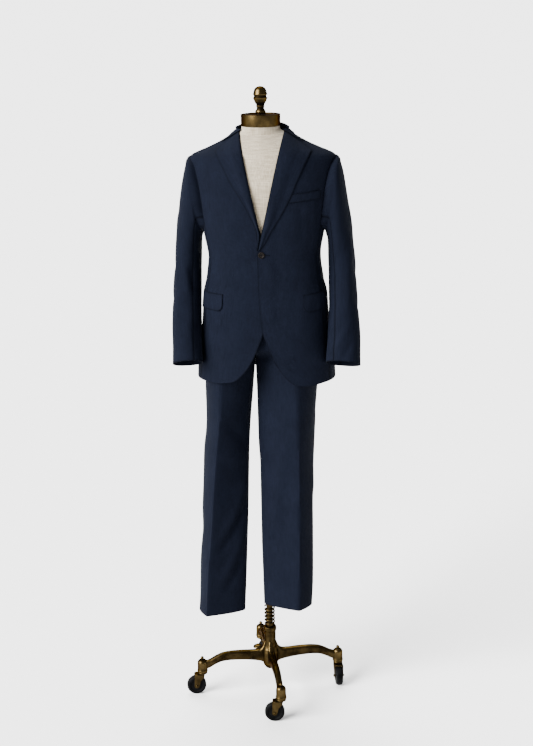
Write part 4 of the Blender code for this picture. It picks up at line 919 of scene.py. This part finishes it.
def buildSleeve(side):
    # folds and swell fade out towards the armhole, along which the sleeve head stands up and then dips
    shape, rings = sleeveShape, sleeveRings(side)
    normal = gridNormals(np.concatenate([rings[:, -1:], rings, rings[:, :1]], axis=1))[:, 1:-1]
    if normal[30, 0, 0] < 0:
        normal = -normal
    flip = np.array([sides[side], 1.0, 1.0])
    worn = rings * flip
    runs = np.cumsum(np.linalg.norm(np.diff(rings, axis=0, prepend=rings[:1]), axis=-1), axis=0)
    swell = shape["swell"] * uneven(worn, shape["wave"], 5.0 + sides[side])
    out = creased(worn, normal * flip, sleeveCreases[side]) + swell
    out *= ease(runs / shape["fade"])
    out += shape["head"] * np.exp(-((runs - shape["headAt"]) / shape["headWidth"]) ** 2)
    out -= shape["tuck"] * np.exp(-(runs / shape["tuckWidth"]) ** 2)
    total = rings.shape[1]
    front, back = shape["frontSeam"], total - shape["backSeam"]
    for kind, columns in (("upper", np.r_[back:total, 0:front + 1]), ("under", np.r_[front:back + 1])):
        dip = seamDip(rings[:, columns], depth=0.001, reach=0.0035)
        pair = []
        for d in (0.0, garment["wall"]):
            grid = rings[:, columns] + normal[:, columns] * (out[:, columns] + dip - d)[..., None]
            grid = np.concatenate([tuckedEdge(d)[:, columns], grid])
            if sides[side] < 0:
                grid = grid[::-1] * flip
            pair.append(inPlace(narrowed(grid)))
        clothPiece(f"{side}{kind.title()}Sleeve", f"sleeve_{kind}_{side}", pair, sleeveCut[kind])


print("sleeves")
for side in sides:
    buildSleeve(side)


def onJacket(angle, z, out):
    # the outside and inside of a thin piece that lies on the jacket: the jacket's own points moved out
    return [inPlace(tilted(body(angle, z, out + d))) for d in (garment["trimWall"], 0.0)]


def lapelOut(share, z):
    # the lapel springs off the front from its roll line and settles at its edge
    rise = np.sin(math.pi * np.clip(share / 0.7, 0.0, 1.0)) ** 1.5 * (1.0 - 0.75 * ease((z - 1.79) / 0.05))
    return garment["gap"] + 0.0014 * ease((z - 1.7) / 0.08) + 0.0038 * rise * (1.0 - 0.3 * share)


lapelCut = {"flat": (0.11, 0.38), "area": 0.021}
lapelShape = {"low": 1.518, "tip": 1.828, "inset": 0.0006, "rightInset": 0.0026, "rightInsetTop": 0.001,
              "curl": 0.0042, "curlDepth": 0.0026, "swell": 0.0004, "wave": 0.06}


def buildLapel(side):
    # from the roll line to the edge; the roll's first few millimetres curl down to the front's own edge
    shape, sign = lapelShape, sides[side]
    low, tip, top = shape["low"], shape["tip"], lapelCurve[-1][0]
    rollZ = np.concatenate([low + (tip - low) * shares(0.33, 0.0055),
                            tip + (top - tip) * shares(0.034, 0.004)[1:]])
    edgeZ, edgeX = (np.where(
        rollZ > tip, np.interp(rollZ, column(lapelCurve, "rollZ"), column(lapelCurve, name)),
        read(lapelCurve[:9], name, rollZ, "rollZ")) for name in ("edgeZ", side + "X"))
    startX = rollLine(rollZ) + shape["inset"]
    if side == "right":
        settled = ease((rollZ - garment["breakHeight"]) / 0.008)
        inset = shape["rightInset"] + (shape["rightInsetTop"] - shape["rightInset"]) * settled
        startX = np.abs(rollLine(rollZ)) + inset
        edgeX = np.maximum(edgeX, startX + 0.002)
    share = shares(0.07, 0.0042)
    x = startX[:, None] + (edgeX - startX)[:, None] * share
    z = rollZ[:, None] + (edgeZ - rollZ)[:, None] * share
    width = (edgeX - startX)[:, None]
    curl = np.clip(1.0 - share * width / shape["curl"], 0.0, 1.0)
    out = overlapLift(side, x) + lapelOut(share, z)
    out = out - shape["curlDepth"] * curl ** 2 * ease((width - 0.006) / 0.02)
    out = out + shape["swell"] * uneven(np.stack([x, x, z], -1), shape["wave"], 6.0)
    angle = angleAt(x, z) * sign
    if sign < 0:
        angle, z, out = (g[:, ::-1] for g in (angle, z, out))
    clothPiece(f"{side}Lapel", f"lapel_{side}", onJacket(angle, z, out), lapelCut)


def collarRow(share, sign):
    # up the stand, over the fold and down the fall
    at = np.linspace(0.0, 1.0, len(collarCurve) - 1)
    value = {name: smoothTable(share, at, column(collarCurve, name)) for name in collarCurve[0]}
    foot = body(sign * value["footAngle"], value["footZ"])
    out = outward(jacketSections, np.array(sign * value["footAngle"]), np.array(value["footZ"]))
    out[2] = 0.0
    out /= np.linalg.norm(out)
    fold = foot + out * value["foldOut"] + np.array([0.0, 0.0, value["stand"]])
    lift = garment["gap"] + garment["trimWall"] + 0.0008
    edge = body(sign * value["edgeAngle"], value["edgeZ"], lift)
    points = [foot, foot * 0.45 + (fold - out * value["foldOut"] * 0.9) * 0.55,
              fold - out * value["foldOut"] * 0.55 - np.array([0.0, 0.0, 0.0004]), fold]
    bulge = out * 0.0035 + np.array([0.0, 0.0, 0.003])
    steep = ease((value["stand"] - 0.006) / 0.01)
    sag = collarSag["drop"] * ease((share - collarSag["start"]) / (1.0 - collarSag["start"]))
    for t in (0.25, 0.5, 0.75, 1.0):
        hanging = fold + (edge - fold) * t + bulge * math.sin(math.pi * t)
        angle = value["footAngle"] + (value["edgeAngle"] - value["footAngle"]) * t
        z = fold[2] + (value["edgeZ"] - fold[2]) * t - sag * t ** 1.5 * (1.0 - t ** 8)
        lying = body(sign * angle, z, lift + 0.0025 * (1.0 - t))
        points.append(hanging * steep + lying * (1.0 - steep))
    return np.array(points)


collarCut = {"flat": (0.42, 0.062), "area": 0.0215}


def buildCollar():
    half = np.linspace(0.0, 1.0, 41)
    half = np.concatenate([half[:-1], [0.985, 0.994, 1.0]])
    spots = [(share, -1.0) for share in half[::-1]] + [(share, 1.0) for share in half[1:]]
    control = np.array([collarRow(share, sign) for share, sign in spots])
    at = np.concatenate([[0.0, 0.12], np.arange(0.3, 6.7, 0.25), [6.88, 6.95, 7.0]])
    grid = splineRows(np.swapaxes(control, 0, 1), at)
    normal = -gridNormals(grid)
    if normal[-2, len(spots) // 2, 1] < 0:
        normal = -normal
    pair = [inPlace(grid - normal * d) for d in (0.0, garment["trimWall"])]
    clothPiece("jacketCollar", "collar", pair, collarCut)


welt = {"flat": (0.11, 0.028), "area": 0.0026, "clear": 0.0015, "end": 0.177, "z": 1.661, "rise": 0.008,
        "height": 0.026}
flap = {"flat": (0.108, 0.058), "area": 0.0056, "start": 35.0, "end": 75.0, "top": 1.377, "depth": 0.055,
        "corner": 0.02, "perDegree": 0.0031}


def buildWelt():
    share = shares(0.1, 0.0045)
    low = welt["z"] + welt["rise"] * share
    z = low[None] + welt["height"] * shares(welt["height"], 0.0045)[:, None]
    start = read(lapelCurve[:9], "leftX", z[:, :1], "edgeZ") + welt["clear"]
    angle = angleAt(start + (welt["end"] - start) * share, z)
    out = garment["gap"] + 0.0006 * np.sin(math.pi * share)[None] * np.ones_like(z)
    clothPiece("breastWelt", "breast_welt", onJacket(angle, z, out), welt)


def buildFlap(side):
    # its front lower corner is a quarter circle, and it stands out a little towards its lower edge
    share = shares(0.124, 0.004)
    angle = flap["start"] + (flap["end"] - flap["start"]) * share
    corner = np.clip(1.0 - (angle - flap["start"]) * flap["perDegree"] / flap["corner"], 0.0, 1.0)
    depth = flap["depth"] - flap["corner"] * (1.0 - np.sqrt(np.clip(1.0 - corner ** 2, 0.0, 1.0)))
    down = shares(flap["depth"], 0.0045)[::-1][:, None]
    z = flap["top"] - depth * down
    angle = np.repeat(angle[None], len(down), axis=0)
    out = garment["gap"] + 0.0016 * down * np.ones_like(angle) + 0.0005 * np.sin(angle * 0.35) * down
    if sides[side] < 0:
        angle, z, out = -angle[:, ::-1], z[:, ::-1], out[:, ::-1]
    clothPiece(f"{side}Flap", f"pocket_flap_{side}", onJacket(angle, z, out), flap)


print("lapels, collar, pockets")
for side in sides:
    buildLapel(side)
    buildFlap(side)
buildCollar()
buildWelt()


def buildButton():
    # a horn button: dished face, raised rim, four bored holes and a crossed thread, with its buttonhole
    z = garment["buttonHeight"]
    angle = angleAt(0.0, z)
    seat = inPlace(body(angle, z, garment["overlap"] + garment["gap"]))
    facing = outward(jacketSections, np.array(float(angle)), np.array(z))
    c, s = math.cos(garment["yaw"]), math.sin(garment["yaw"])
    axis = np.array([c * facing[0] - s * facing[1], s * facing[0] + c * facing[1], facing[2]])
    profile = roundedProfile(((0.0, 0.0024), (0.0058, 0.0022), (0.007, 0.0036), (0.0087, 0.004),
                              (0.0099, 0.0032), (0.01, 0.002), (0.009, 0.0006), (0.007, 0.0),
                              (0.0, 0.0)), 0.0009, 5)
    button = revolve("frontButton", profile, 64, seat, axis)
    sideways = unit(np.cross((0.0, 0.0, 1.0), axis))
    upward = np.cross(axis, sideways)
    holes = [(-0.0017, -0.0017), (0.0017, -0.0017), (0.0017, 0.0017), (-0.0017, 0.0017)]
    bore = ((0.0, 0.006), (0.00085, 0.006), (0.00085, -0.002), (0.0, -0.002))
    cutters = []
    for number, (a, b) in enumerate(holes):
        cutter = revolve(f"holeCutter{number}", bore, 16, seat + sideways * a + upward * b, axis)
        cut = button.modifiers.new("hole", "BOOLEAN")
        cut.object, cut.operation, cut.solver = cutter, "DIFFERENCE", "EXACT"
        cutters.append(cutter)
    evaluated = button.evaluated_get(bpy.context.evaluated_depsgraph_get())
    drilled = bpy.data.meshes.new_from_object(evaluated)
    button.modifiers.clear()
    button.data = drilled
    for cutter in cutters:
        bpy.data.objects.remove(cutter)
    drilled.shade_smooth()
    drilled.set_sharp_from_angle(angle=math.radians(40.0))
    dress(button, "horn", "figure", "front_button")
    for number, (start, end) in enumerate(((holes[0], holes[2]), (holes[1], holes[3]))):
        t = np.linspace(0.0, 1.0, 15)[:, None]
        line = np.array(start) * (1 - t) + np.array(end) * t
        lift = 0.0004 + 0.003 * np.sin(math.pi * t) ** 0.5
        path = seat + line[:, :1] * sideways + line[:, 1:] * upward + axis * (lift + number * 0.0004)
        dress(tube(f"buttonThread{number}", path, 0.00042, 8), "thread", "figure")
    hole = {"length": 0.0165, "start": 0.0085, "drop": 0.0022}
    t = np.linspace(0.0, 1.0, 25)
    x = hole["start"] + hole["length"] * t
    rise = z - hole["drop"] * t
    for number, offset in enumerate((-0.0006, 0.0006)):
        out = overlapLift("left", x) + 0.0004
        path = inPlace(tilted(body(angleAt(x, rise + offset), rise + offset, out)))
        dress(tube(f"buttonholeEdge{number}", path, 0.0007, 8), "thread", "figure")


buildButton()


legs = {"right": legRight, "left": legLeft}
trouserCut = {"front": {"flat": (0.3, 1.08), "area": 0.245}, "back": {"flat": (0.32, 1.08), "area": 0.255}}
trouserShape = {"step": 0.0075, "press": 0.082, "pressDepth": 0.0007, "swell": 0.0022, "wave": 0.16,
                "blend": 0.055}
seatPower = 2.4


def legGrid(side):
    # one side of the trousers, columns from the inseam or middle seam round the outside and back, rows from
    # the hem to the waist. Below the fork each row is a pressed tube: on each side of a crease its depth is
    # a mix of a quarter circle and a straight line. Above the fork it opens into the seat's section
    table, waist = legs[side], garment["waistSeam"]
    hem = table[1][0]
    z = np.concatenate([hem + np.array([0.0, 0.0012, 0.0035, 0.0065]),
                        np.arange(hem + 0.011, waist - 0.003, trouserShape["step"]), [waist]])[:, None]
    below = np.minimum(z, garment["fork"])
    outer, inner = read(table, "outer", below), read(table, "inner", below)
    crease = read(table, "crease", below)
    middle = 0.5 * (outer + inner)
    depth, yMid, flat = (read(table, name, below) for name in ("depth", "middleY", "flat"))
    innerTurn = np.linspace(0.0, 0.5 * math.pi, 17)
    outerTurn = np.linspace(0.5 * math.pi, 0.0, 13)[1:]
    half = len(innerTurn) + len(outerTurn)
    quarter = np.linspace(0.0, 0.5 * math.pi, half)

    def panel(foldX, pressed):
        # x runs from the inner edge to the fold and on to the outer edge; deep is 0 at both edges and 1 at
        # the fold
        out = np.concatenate([np.cos(innerTurn), np.cos(outerTurn)])
        curved = np.concatenate([np.sin(innerTurn), np.sin(outerTurn)])
        x = np.concatenate([foldX + (inner - foldX) * np.cos(innerTurn),
                            foldX + (outer - foldX) * np.cos(outerTurn)], 1)
        return x, (1.0 - pressed) * curved + pressed * (1.0 - out)

    frontX, frontDeep = panel(crease, flat)
    backX, backDeep = panel(middle - 0.45 * (crease - middle), flat)
    above = np.maximum(z, garment["fork"])
    midSeam = read(seatSections, "middle", above) + sides[side] * 0.0003
    sideX = read(seatSections, side, above)
    roundX = midSeam + (sideX - midSeam) * np.sin(quarter) ** (2.0 / seatPower)
    deepSeat = np.cos(quarter) ** (2.0 / seatPower)
    blend = ease((z - garment["fork"]) / trouserShape["blend"])
    seatFront, seatBack = (deepSeat * read(seatSections, face, above) * blend for face in ("front", "back"))
    front = np.stack([frontX * (1 - blend) + roundX * blend,
                      (yMid - frontDeep * depth) * (1 - blend) - seatFront, z + 0.0 * frontX], -1)
    back = np.stack([backX * (1 - blend) + roundX * blend,
                     (yMid + backDeep * depth) * (1 - blend) + seatBack, z + 0.0 * backX], -1)
    return np.concatenate([front, back[:, -2::-1]], axis=1), half


def legNormals(grid, side):
    # the two edges share a normal at the inseam and face straight forward and back at the middle seams
    around = np.gradient(grid, axis=1)
    across = grid[:, 1] - grid[:, -2]
    blend = ease((grid[:, :1, 2] - garment["fork"]) / trouserShape["blend"])
    sideways = np.array([sides[side], 0.0, 0.0]) * np.linalg.norm(across, axis=-1, keepdims=True)
    around[:, 0] = across * (1.0 - blend) + sideways * blend
    around[:, -1] = across * (1.0 - blend) - sideways * blend
    return unit(np.cross(around, np.gradient(grid, axis=0)) * sides[side])


def buildTrouser(side):
    # folds and swell fade out at the seams, the hem and the fork; a faint line marks the pressed hem
    shape = trouserShape
    grid, half = legGrid(side)
    normal = legNormals(grid, side)
    height = grid[..., 2]
    aboveHem = height - legs[side][1][0]
    fade = 1.0 - ease((height - 1.06) / 0.08)
    edges = ease(fromEdge(grid) / 0.02) * ease(fromEdge(grid, True) / 0.02)
    swell = shape["swell"] * uneven(grid, shape["wave"], 7.0 + sides[side])
    out = (creased(grid, normal, legCreases[side]) + swell) * fade * edges * ease(aboveHem / 0.1 + 0.25)
    out += shape["pressDepth"] * np.exp(-((aboveHem - shape["press"]) / 0.004) ** 2)
    for kind, columns in (("front", slice(0, half)), ("back", slice(half - 1, None))):
        dip = seamDip(grid[:, columns], depth=0.0009, reach=0.003)
        pair = [narrowed(grid[:, columns] + normal[:, columns] * (out[:, columns] + dip - d)[..., None])
                for d in (0.0, garment["wall"])]
        pair = [inPlace(g[:, ::-1] if sides[side] < 0 else g) for g in pair]
        clothPiece(f"{side}Trouser{kind.title()}", f"trouser_{kind}_{side}", pair, trouserCut[kind])


waistbandCut = {"flat": (0.86, 0.042), "area": 0.034}


def buildWaistband():
    # a band round the seat's section, open by 2 degrees at the centre back
    turn = np.radians(np.linspace(-178.9, 178.9, 121))
    s, c = np.sin(turn), np.cos(turn)
    low, high = garment["waistSeam"], garment["waistTop"]
    z = low + garment["gap"] + (high - low) * shares(0.04, 0.008)[:, None]
    pair = []
    for out in (0.0, -garment["wall"]):
        wide = np.where(s > 0, read(seatSections, "left", z), -read(seatSections, "right", z)) + out
        deep = np.where(c > 0, -read(seatSections, "front", z) - out, read(seatSections, "back", z) + out)
        pair.append(inPlace(np.stack([wide * rounded(s, seatPower), deep * np.abs(c) ** (2.0 / seatPower),
                                      z + 0.0 * s], -1)))
    clothPiece("trouserWaistband", "waistband", pair, waistbandCut)


print("trousers")
for side in sides:
    buildTrouser(side)
buildWaistband()


def buildForm():
    # the padded torso: level sections up to the shoulders, then drawn in to a round neck
    neck = {"radius": 0.0585, "top": 1.8791}
    angles = np.linspace(0.0, 360.0, 120, endpoint=False)
    low = np.concatenate([[1.205, 1.2055, 1.2065, 1.208, 1.211], np.arange(1.218, 1.795, 0.009), [1.795]])
    rings = [section(formSections, angles, 0.0 * angles + z) for z in low]
    turn = np.radians(angles)
    high = np.concatenate([np.linspace(1.8, 1.872, 19), neck["top"] - np.array([0.004, 0.0012, 0.0003, 0.0])])
    for z in high:
        radius = neck["radius"] - 0.0008 * ease((z - neck["top"] + 0.0012) / 0.0012)
        circle = np.stack([radius * np.sin(turn) - 0.005, -radius * np.cos(turn), z + 0.0 * turn], -1)
        # 3.4 mm below the jacket's outer surface, and 7 mm along the shoulder seams
        below = 0.0034 + 0.0036 * np.exp(-((angles % 180.0 - 90.0) / 14.0) ** 2)
        broad = body(angles, 0.0 * angles + min(z, 1.866), -below)
        broad[:, 2] = z
        narrow = np.abs(broad[:, 1]) < np.abs(circle[:, 1]) * ease((z - 1.82) / 0.04)
        broad[:, 1] = np.where(narrow, circle[:, 1], broad[:, 1])
        drawnIn = ease((z - 1.846) / 0.0265)
        rings.append(broad * (1.0 - drawnIn) + circle * drawnIn)
    rings = np.array(rings)
    bottom = np.clip(1.0 - (rings[..., 2] - garment["formBottom"]) / 0.006, 0.0, 1.0)[..., None]
    rings[..., :2] *= 1.0 - 0.018 * bottom ** 2
    dress(sweep("formTorso", inPlace(rings)), "linen", "figure", "form_torso")


capShape = {"radius": 0.06, "low": 1.8795, "high": 1.914}
finialCurve = (
    (0.0, 1.997), (0.004, 1.9967), (0.008, 1.9957), (0.0115, 1.994), (0.0148, 1.9915), (0.0172, 1.9882),
    (0.019, 1.984), (0.0202, 1.9792), (0.0208, 1.976), (0.0222, 1.9738), (0.022, 1.972),
    (0.0192, 1.9695), (0.0186, 1.9668), (0.0194, 1.9648), (0.0222, 1.9625), (0.022, 1.9605),
    (0.0204, 1.958), (0.0186, 1.953), (0.0158, 1.9475), (0.0128, 1.9425), (0.0118, 1.9405),
    (0.013, 1.939), (0.0131, 1.9372), (0.0118, 1.9345), (0.0112, 1.9315), (0.0116, 1.929),
    (0.014, 1.926), (0.016, 1.9225), (0.0162, 1.9195), (0.015, 1.9165), (0.015, 1.9142), (0.0, 1.9142),
)


def buildCap():
    r, low, high = capShape["radius"], capShape["low"], capShape["high"]
    cap = roundedProfile(((0.0, high - 0.0022), (r - 0.0042, high - 0.0022), (r - 0.0036, high), (r, high),
                          (r, low), (r - 0.0015, low), (0.0, low)), 0.0007, 4)
    dress(revolve("neckCap", cap, 96), "brass", "figure", "neck_cap")
    dress(revolve("turnedFinial", finialCurve, 64), "brass", "figure", "finial")


print("form and cap")
buildForm()
buildCap()

standShape = {"footRadius": 0.23, "footTurn": math.radians(8.0), "wheelRadius": 0.032, "wheelWidth": 0.022,
              "trail": 0.021, "poleRadius": 0.011}
feet = {"front": (-90.0, 178.0), "right": (0.0, -84.0), "back": (90.0, 20.0), "left": (180.0, 186.0)}
armCurve = (
    ("r", "z", "height", "width"),
    (0.012, 0.133, 0.112, 0.014), (0.02, 0.13, 0.082, 0.02), (0.028, 0.1245, 0.054, 0.025),
    (0.04, 0.1225, 0.04, 0.0265), (0.06, 0.124, 0.0355, 0.025), (0.095, 0.127, 0.033, 0.0235),
    (0.13, 0.128, 0.0315, 0.0225), (0.16, 0.1255, 0.0298, 0.0215), (0.185, 0.1165, 0.0285, 0.021),
    (0.205, 0.1055, 0.028, 0.0215), (0.222, 0.1, 0.029, 0.023),
)


def buildArm(name, azimuth):
    # a rounded box carried out along the arm, its flanks flat and its top a low ridge
    r = np.linspace(armCurve[1][0], armCurve[-1][0], 56)
    turn = np.linspace(0.0, 2.0 * math.pi, 32, endpoint=False)
    c, s = np.cos(turn), np.sin(turn)
    across, high = rounded(c, 3.4), rounded(s, 2.7)
    width, height, middle = (read(armCurve, key, r, "r")[:, None] for key in ("width", "height", "z"))
    side = across * 0.5 * width
    z = middle + high * 0.5 * height
    ahead, aside, r = math.cos(azimuth), math.sin(azimuth), r[:, None]
    x, y = ahead * r - aside * side, aside * r + ahead * side
    rings = np.stack([x, y, z + 0.0 * x], -1)
    wear = np.clip(0.35 + 0.45 * (np.abs(s) > 0.75) + 0.1 * np.sin(r * 70.0), 0.0, 1.0)
    thing = sweep(f"{name}Arm", rings, wear + 0.0 * z)
    dress(thing, "brass", "stand", f"stand_arm_{name}")


bellCurve = (
    (0.0, 0.133), (0.0022, 0.1327), (0.004, 0.1316), (0.0054, 0.1296), (0.0058, 0.1272), (0.005, 0.125),
    (0.0042, 0.1238), (0.0048, 0.1228), (0.0072, 0.122), (0.0106, 0.1206), (0.0136, 0.1182),
    (0.0154, 0.1148), (0.0161, 0.11), (0.0163, 0.098), (0.0165, 0.0862), (0.0174, 0.0846),
    (0.0178, 0.082), (0.0176, 0.0795), (0.0166, 0.0782), (0.0, 0.078),
)


def buildCaster(name, foot, way):
    # a swivel fork of two tapered cheeks under a plate, an axle with domed nuts, and a wheel
    trail, wheelRadius = standShape["trail"], standShape["wheelRadius"]
    ahead = np.array([math.cos(way), math.sin(way), 0.0])
    aside = np.array([-math.sin(way), math.cos(way), 0.0])
    up = np.array([0.0, 0.0, 1.0])
    foot = np.array([foot[0], foot[1], 0.0])
    centre = foot + ahead * trail + up * wheelRadius
    half = 0.5 * standShape["wheelWidth"] + 0.0015
    stem = roundedProfile(((0.0, 0.0776), (0.015, 0.0776), (0.016, 0.076), (0.016, 0.0725), (0.0125, 0.07),
                           (0.0, 0.07)), 0.0008, 4)
    pieces = [revolve(f"{name}ForkStem", stem, 48, foot)]
    t = np.linspace(0.0, 2.0 * math.pi, 48, endpoint=False)
    crown = np.stack([0.5 * trail + 0.018 * np.sign(np.cos(t)) * np.abs(np.cos(t)) ** 0.7,
                      (half + 0.0025) * np.sign(np.sin(t)) * np.abs(np.sin(t)) ** 0.6], -1)
    pieces.append(plate(f"{name}ForkCrown", crown, 0.0042, foot + up * 0.069, ahead, aside, 0.001))
    cheek = [(-0.006, 0.07), (0.027, 0.07), (0.0285, 0.064), (0.028, 0.056)]
    arc = np.linspace(math.radians(20.0), math.radians(-170.0), 14)
    cheek += [(trail + 0.0085 * math.cos(a), wheelRadius + 0.0085 * math.sin(a)) for a in arc]
    cheek += [(0.008, 0.048), (-0.004, 0.062)]
    for number, edge in enumerate((-1.0, 1.0)):
        place = foot + aside * edge * (half + 0.0013)
        pieces.append(plate(f"{name}ForkCheek{number}", cheek, 0.0024, place, ahead, up, 0.0006))
        nut = roundedProfile(((0.0, 0.0042), (0.0026, 0.0038), (0.0042, 0.0022), (0.0046, 0.0),
                              (0.0, 0.0)), 0.001, 5)
        place = centre + aside * edge * (half + 0.0024)
        pieces.append(revolve(f"{name}AxleNut{number}", nut, 24, place, aside * edge))
    axle = ((0.0, half + 0.002), (0.003, half + 0.002), (0.003, -half - 0.002), (0.0, -half - 0.002))
    pieces.append(revolve(f"{name}Axle", axle, 24, centre, aside))
    for number, piece in enumerate(pieces):
        nodes = (f"caster_fork_{name}",) if number == 0 else ()
        dress(piece, "brass", f"caster_{name}", *nodes)
    w = 0.5 * standShape["wheelWidth"]
    tread = roundedProfile(((0.0034, w - 0.0012), (0.0105, w - 0.0012), (0.0112, w - 0.0026),
                            (0.0205, w - 0.0026),
                            (0.0222, w), (0.0285, w), (wheelRadius, w - 0.004), (wheelRadius, 0.004 - w),
                            (0.0285, -w), (0.0222, -w), (0.0205, 0.0026 - w), (0.0112, 0.0026 - w),
                            (0.0105, 0.0012 - w), (0.0034, 0.0012 - w)), 0.0012, 5)
    wheel = revolve(f"{name}Wheel", tread, 72, centre, aside)
    dress(wheel, "rubber", f"wheel_{name}", f"caster_wheel_{name}")


def buildHub():
    # the centre tube and its bowl
    hub = roundedProfile(((0.0117, 0.225), (0.02, 0.225), (0.0217, 0.223), (0.0217, 0.212), (0.0196, 0.2085),
                          (0.0192, 0.17), (0.0205, 0.156), (0.025, 0.144), (0.027, 0.133), (0.0272, 0.11),
                          (0.0258, 0.096), (0.0215, 0.084), (0.0165, 0.0765), (0.015, 0.075),
                          (0.0117, 0.075)),
                         0.0016, 5)
    dress(revolve("hub", hub, 72), "brass", "stand", "stand_hub")


def buildPole():
    top = garment["formBottom"] - garment["gap"]
    r = standShape["poleRadius"]
    z = np.linspace(top, 0.082, 60)
    profile = [(0.0, top)] + [(r, level) for level in z] + [(0.0, 0.082)]
    dress(revolve("brassPole", profile, 40), "brass", "figure", "pole")


def buildSpring():
    # a helix: the wire's centre goes round and up
    spring = {"radius": 0.0152, "wire": 0.0028, "pitch": 0.0125, "bottom": 0.2283, "turns": 5.5}
    turn = np.linspace(0.0, spring["turns"] * 2.0 * math.pi, int(spring["turns"] * 40))
    path = np.stack([spring["radius"] * np.cos(turn), spring["radius"] * np.sin(turn),
                     spring["bottom"] + spring["pitch"] * turn / (2.0 * math.pi)], -1)
    dress(tube("heightSpring", path, spring["wire"], 14), "brass", "stand", "height_spring")


def buildPedal():
    # a lever from the hub and its domed pad
    azimuth = math.radians(143.0)
    start = np.array([math.cos(azimuth), math.sin(azimuth), 0.0]) * 0.0298
    pad = np.array([-0.042, 0.062, 0.0])
    way = unit(pad - start)
    aside = np.array([-way[1], way[0], 0.0])
    up = np.array([0.0, 0.0, 0.118])
    reach = float(np.linalg.norm(pad - start))
    lever = [(0.0, -0.0045), (reach, -0.0036), (reach, 0.0036), (0.0, 0.0045)]
    dress(plate("pedalLever", lever, 0.005, start + up, way, aside, 0.001), "brass", "pedal", "foot_pedal")
    dome = roundedProfile(((0.0, 0.009), (0.006, 0.0084), (0.011, 0.0068), (0.0145, 0.004), (0.016, 0.001),
                           (0.016, -0.001), (0.0, -0.002)), 0.003, 5)
    dress(revolve("pedalPad", dome, 48, pad + up), "brass", "pedal")


print("stand")
buildHub()
buildPole()
buildSpring()
buildPedal()
for name, (degrees, way) in feet.items():
    azimuth = math.radians(degrees) + standShape["footTurn"]
    foot = (standShape["footRadius"] * math.cos(azimuth), standShape["footRadius"] * math.sin(azimuth), 0.0)
    buildArm(name, azimuth)
    dress(revolve(f"{name}Bell", bellCurve, 48, foot), "brass", "stand", f"stand_bell_{name}")
    buildCaster(name, foot, math.radians(way))


studio = {"floor": (0.86, 0.86, 0.86), "floorHalf": 400.0, "ambient": 0.5,
          "key": {"strength": 20.0, "soft": 42.0, "turn": (64.0, 0.0, -56.0)},
          "fill": {"strength": 5.2, "soft": 44.0, "turn": (-32.0, 0.0, 12.0)}}
camera = {"place": (0.004, -4.365, 2.311), "pitch": 15.5, "roll": -1.04, "lens": 68.8, "sensor": 36.0}


def buildStudio():
    half = studio["floorHalf"]
    corners = np.array([[-1.0, -1.0, 0.0], [1.0, -1.0, 0.0], [1.0, 1.0, 0.0], [-1.0, 1.0, 0.0]]) * half
    floor = meshObject("floor", corners, [[0, 1, 2, 3]])
    sheet = NodeSheet("paleFloor")
    sheet.set(Base_Color=studio["floor"], Roughness=0.9, Specular_IOR_Level=0.1)
    floor.data.materials.append(sheet.material)
    world = bpy.data.worlds.new("studio")
    world.use_nodes = True
    background = world.node_tree.nodes["Background"]
    background.inputs["Color"].default_value = (1.0, 1.0, 1.0, 1.0)
    background.inputs["Strength"].default_value = studio["ambient"]
    bpy.context.scene.world = world
    for name in ("key", "fill"):
        made = bpy.data.lights.new(name, "SUN")
        made.energy = studio[name]["strength"]
        made.angle = math.radians(studio[name]["soft"])
        placed(name, made).rotation_euler = [math.radians(v) for v in studio[name]["turn"]]


def buildCamera():
    lens = bpy.data.cameras.new("camera")
    lens.lens, lens.sensor_width = camera["lens"], camera["sensor"]
    lens.clip_end = 1000.0
    eye = placed("camera", lens)
    pitch, roll = math.radians(90.0 - camera["pitch"]), math.radians(camera["roll"])
    turn = Matrix.Rotation(pitch, 4, "X") @ Matrix.Rotation(roll, 4, "Z")
    eye.matrix_world = Matrix.Translation(camera["place"]) @ turn
    bpy.context.scene.camera = eye


print("studio")
buildStudio()
buildCamera()

bpy.context.view_layer.update()
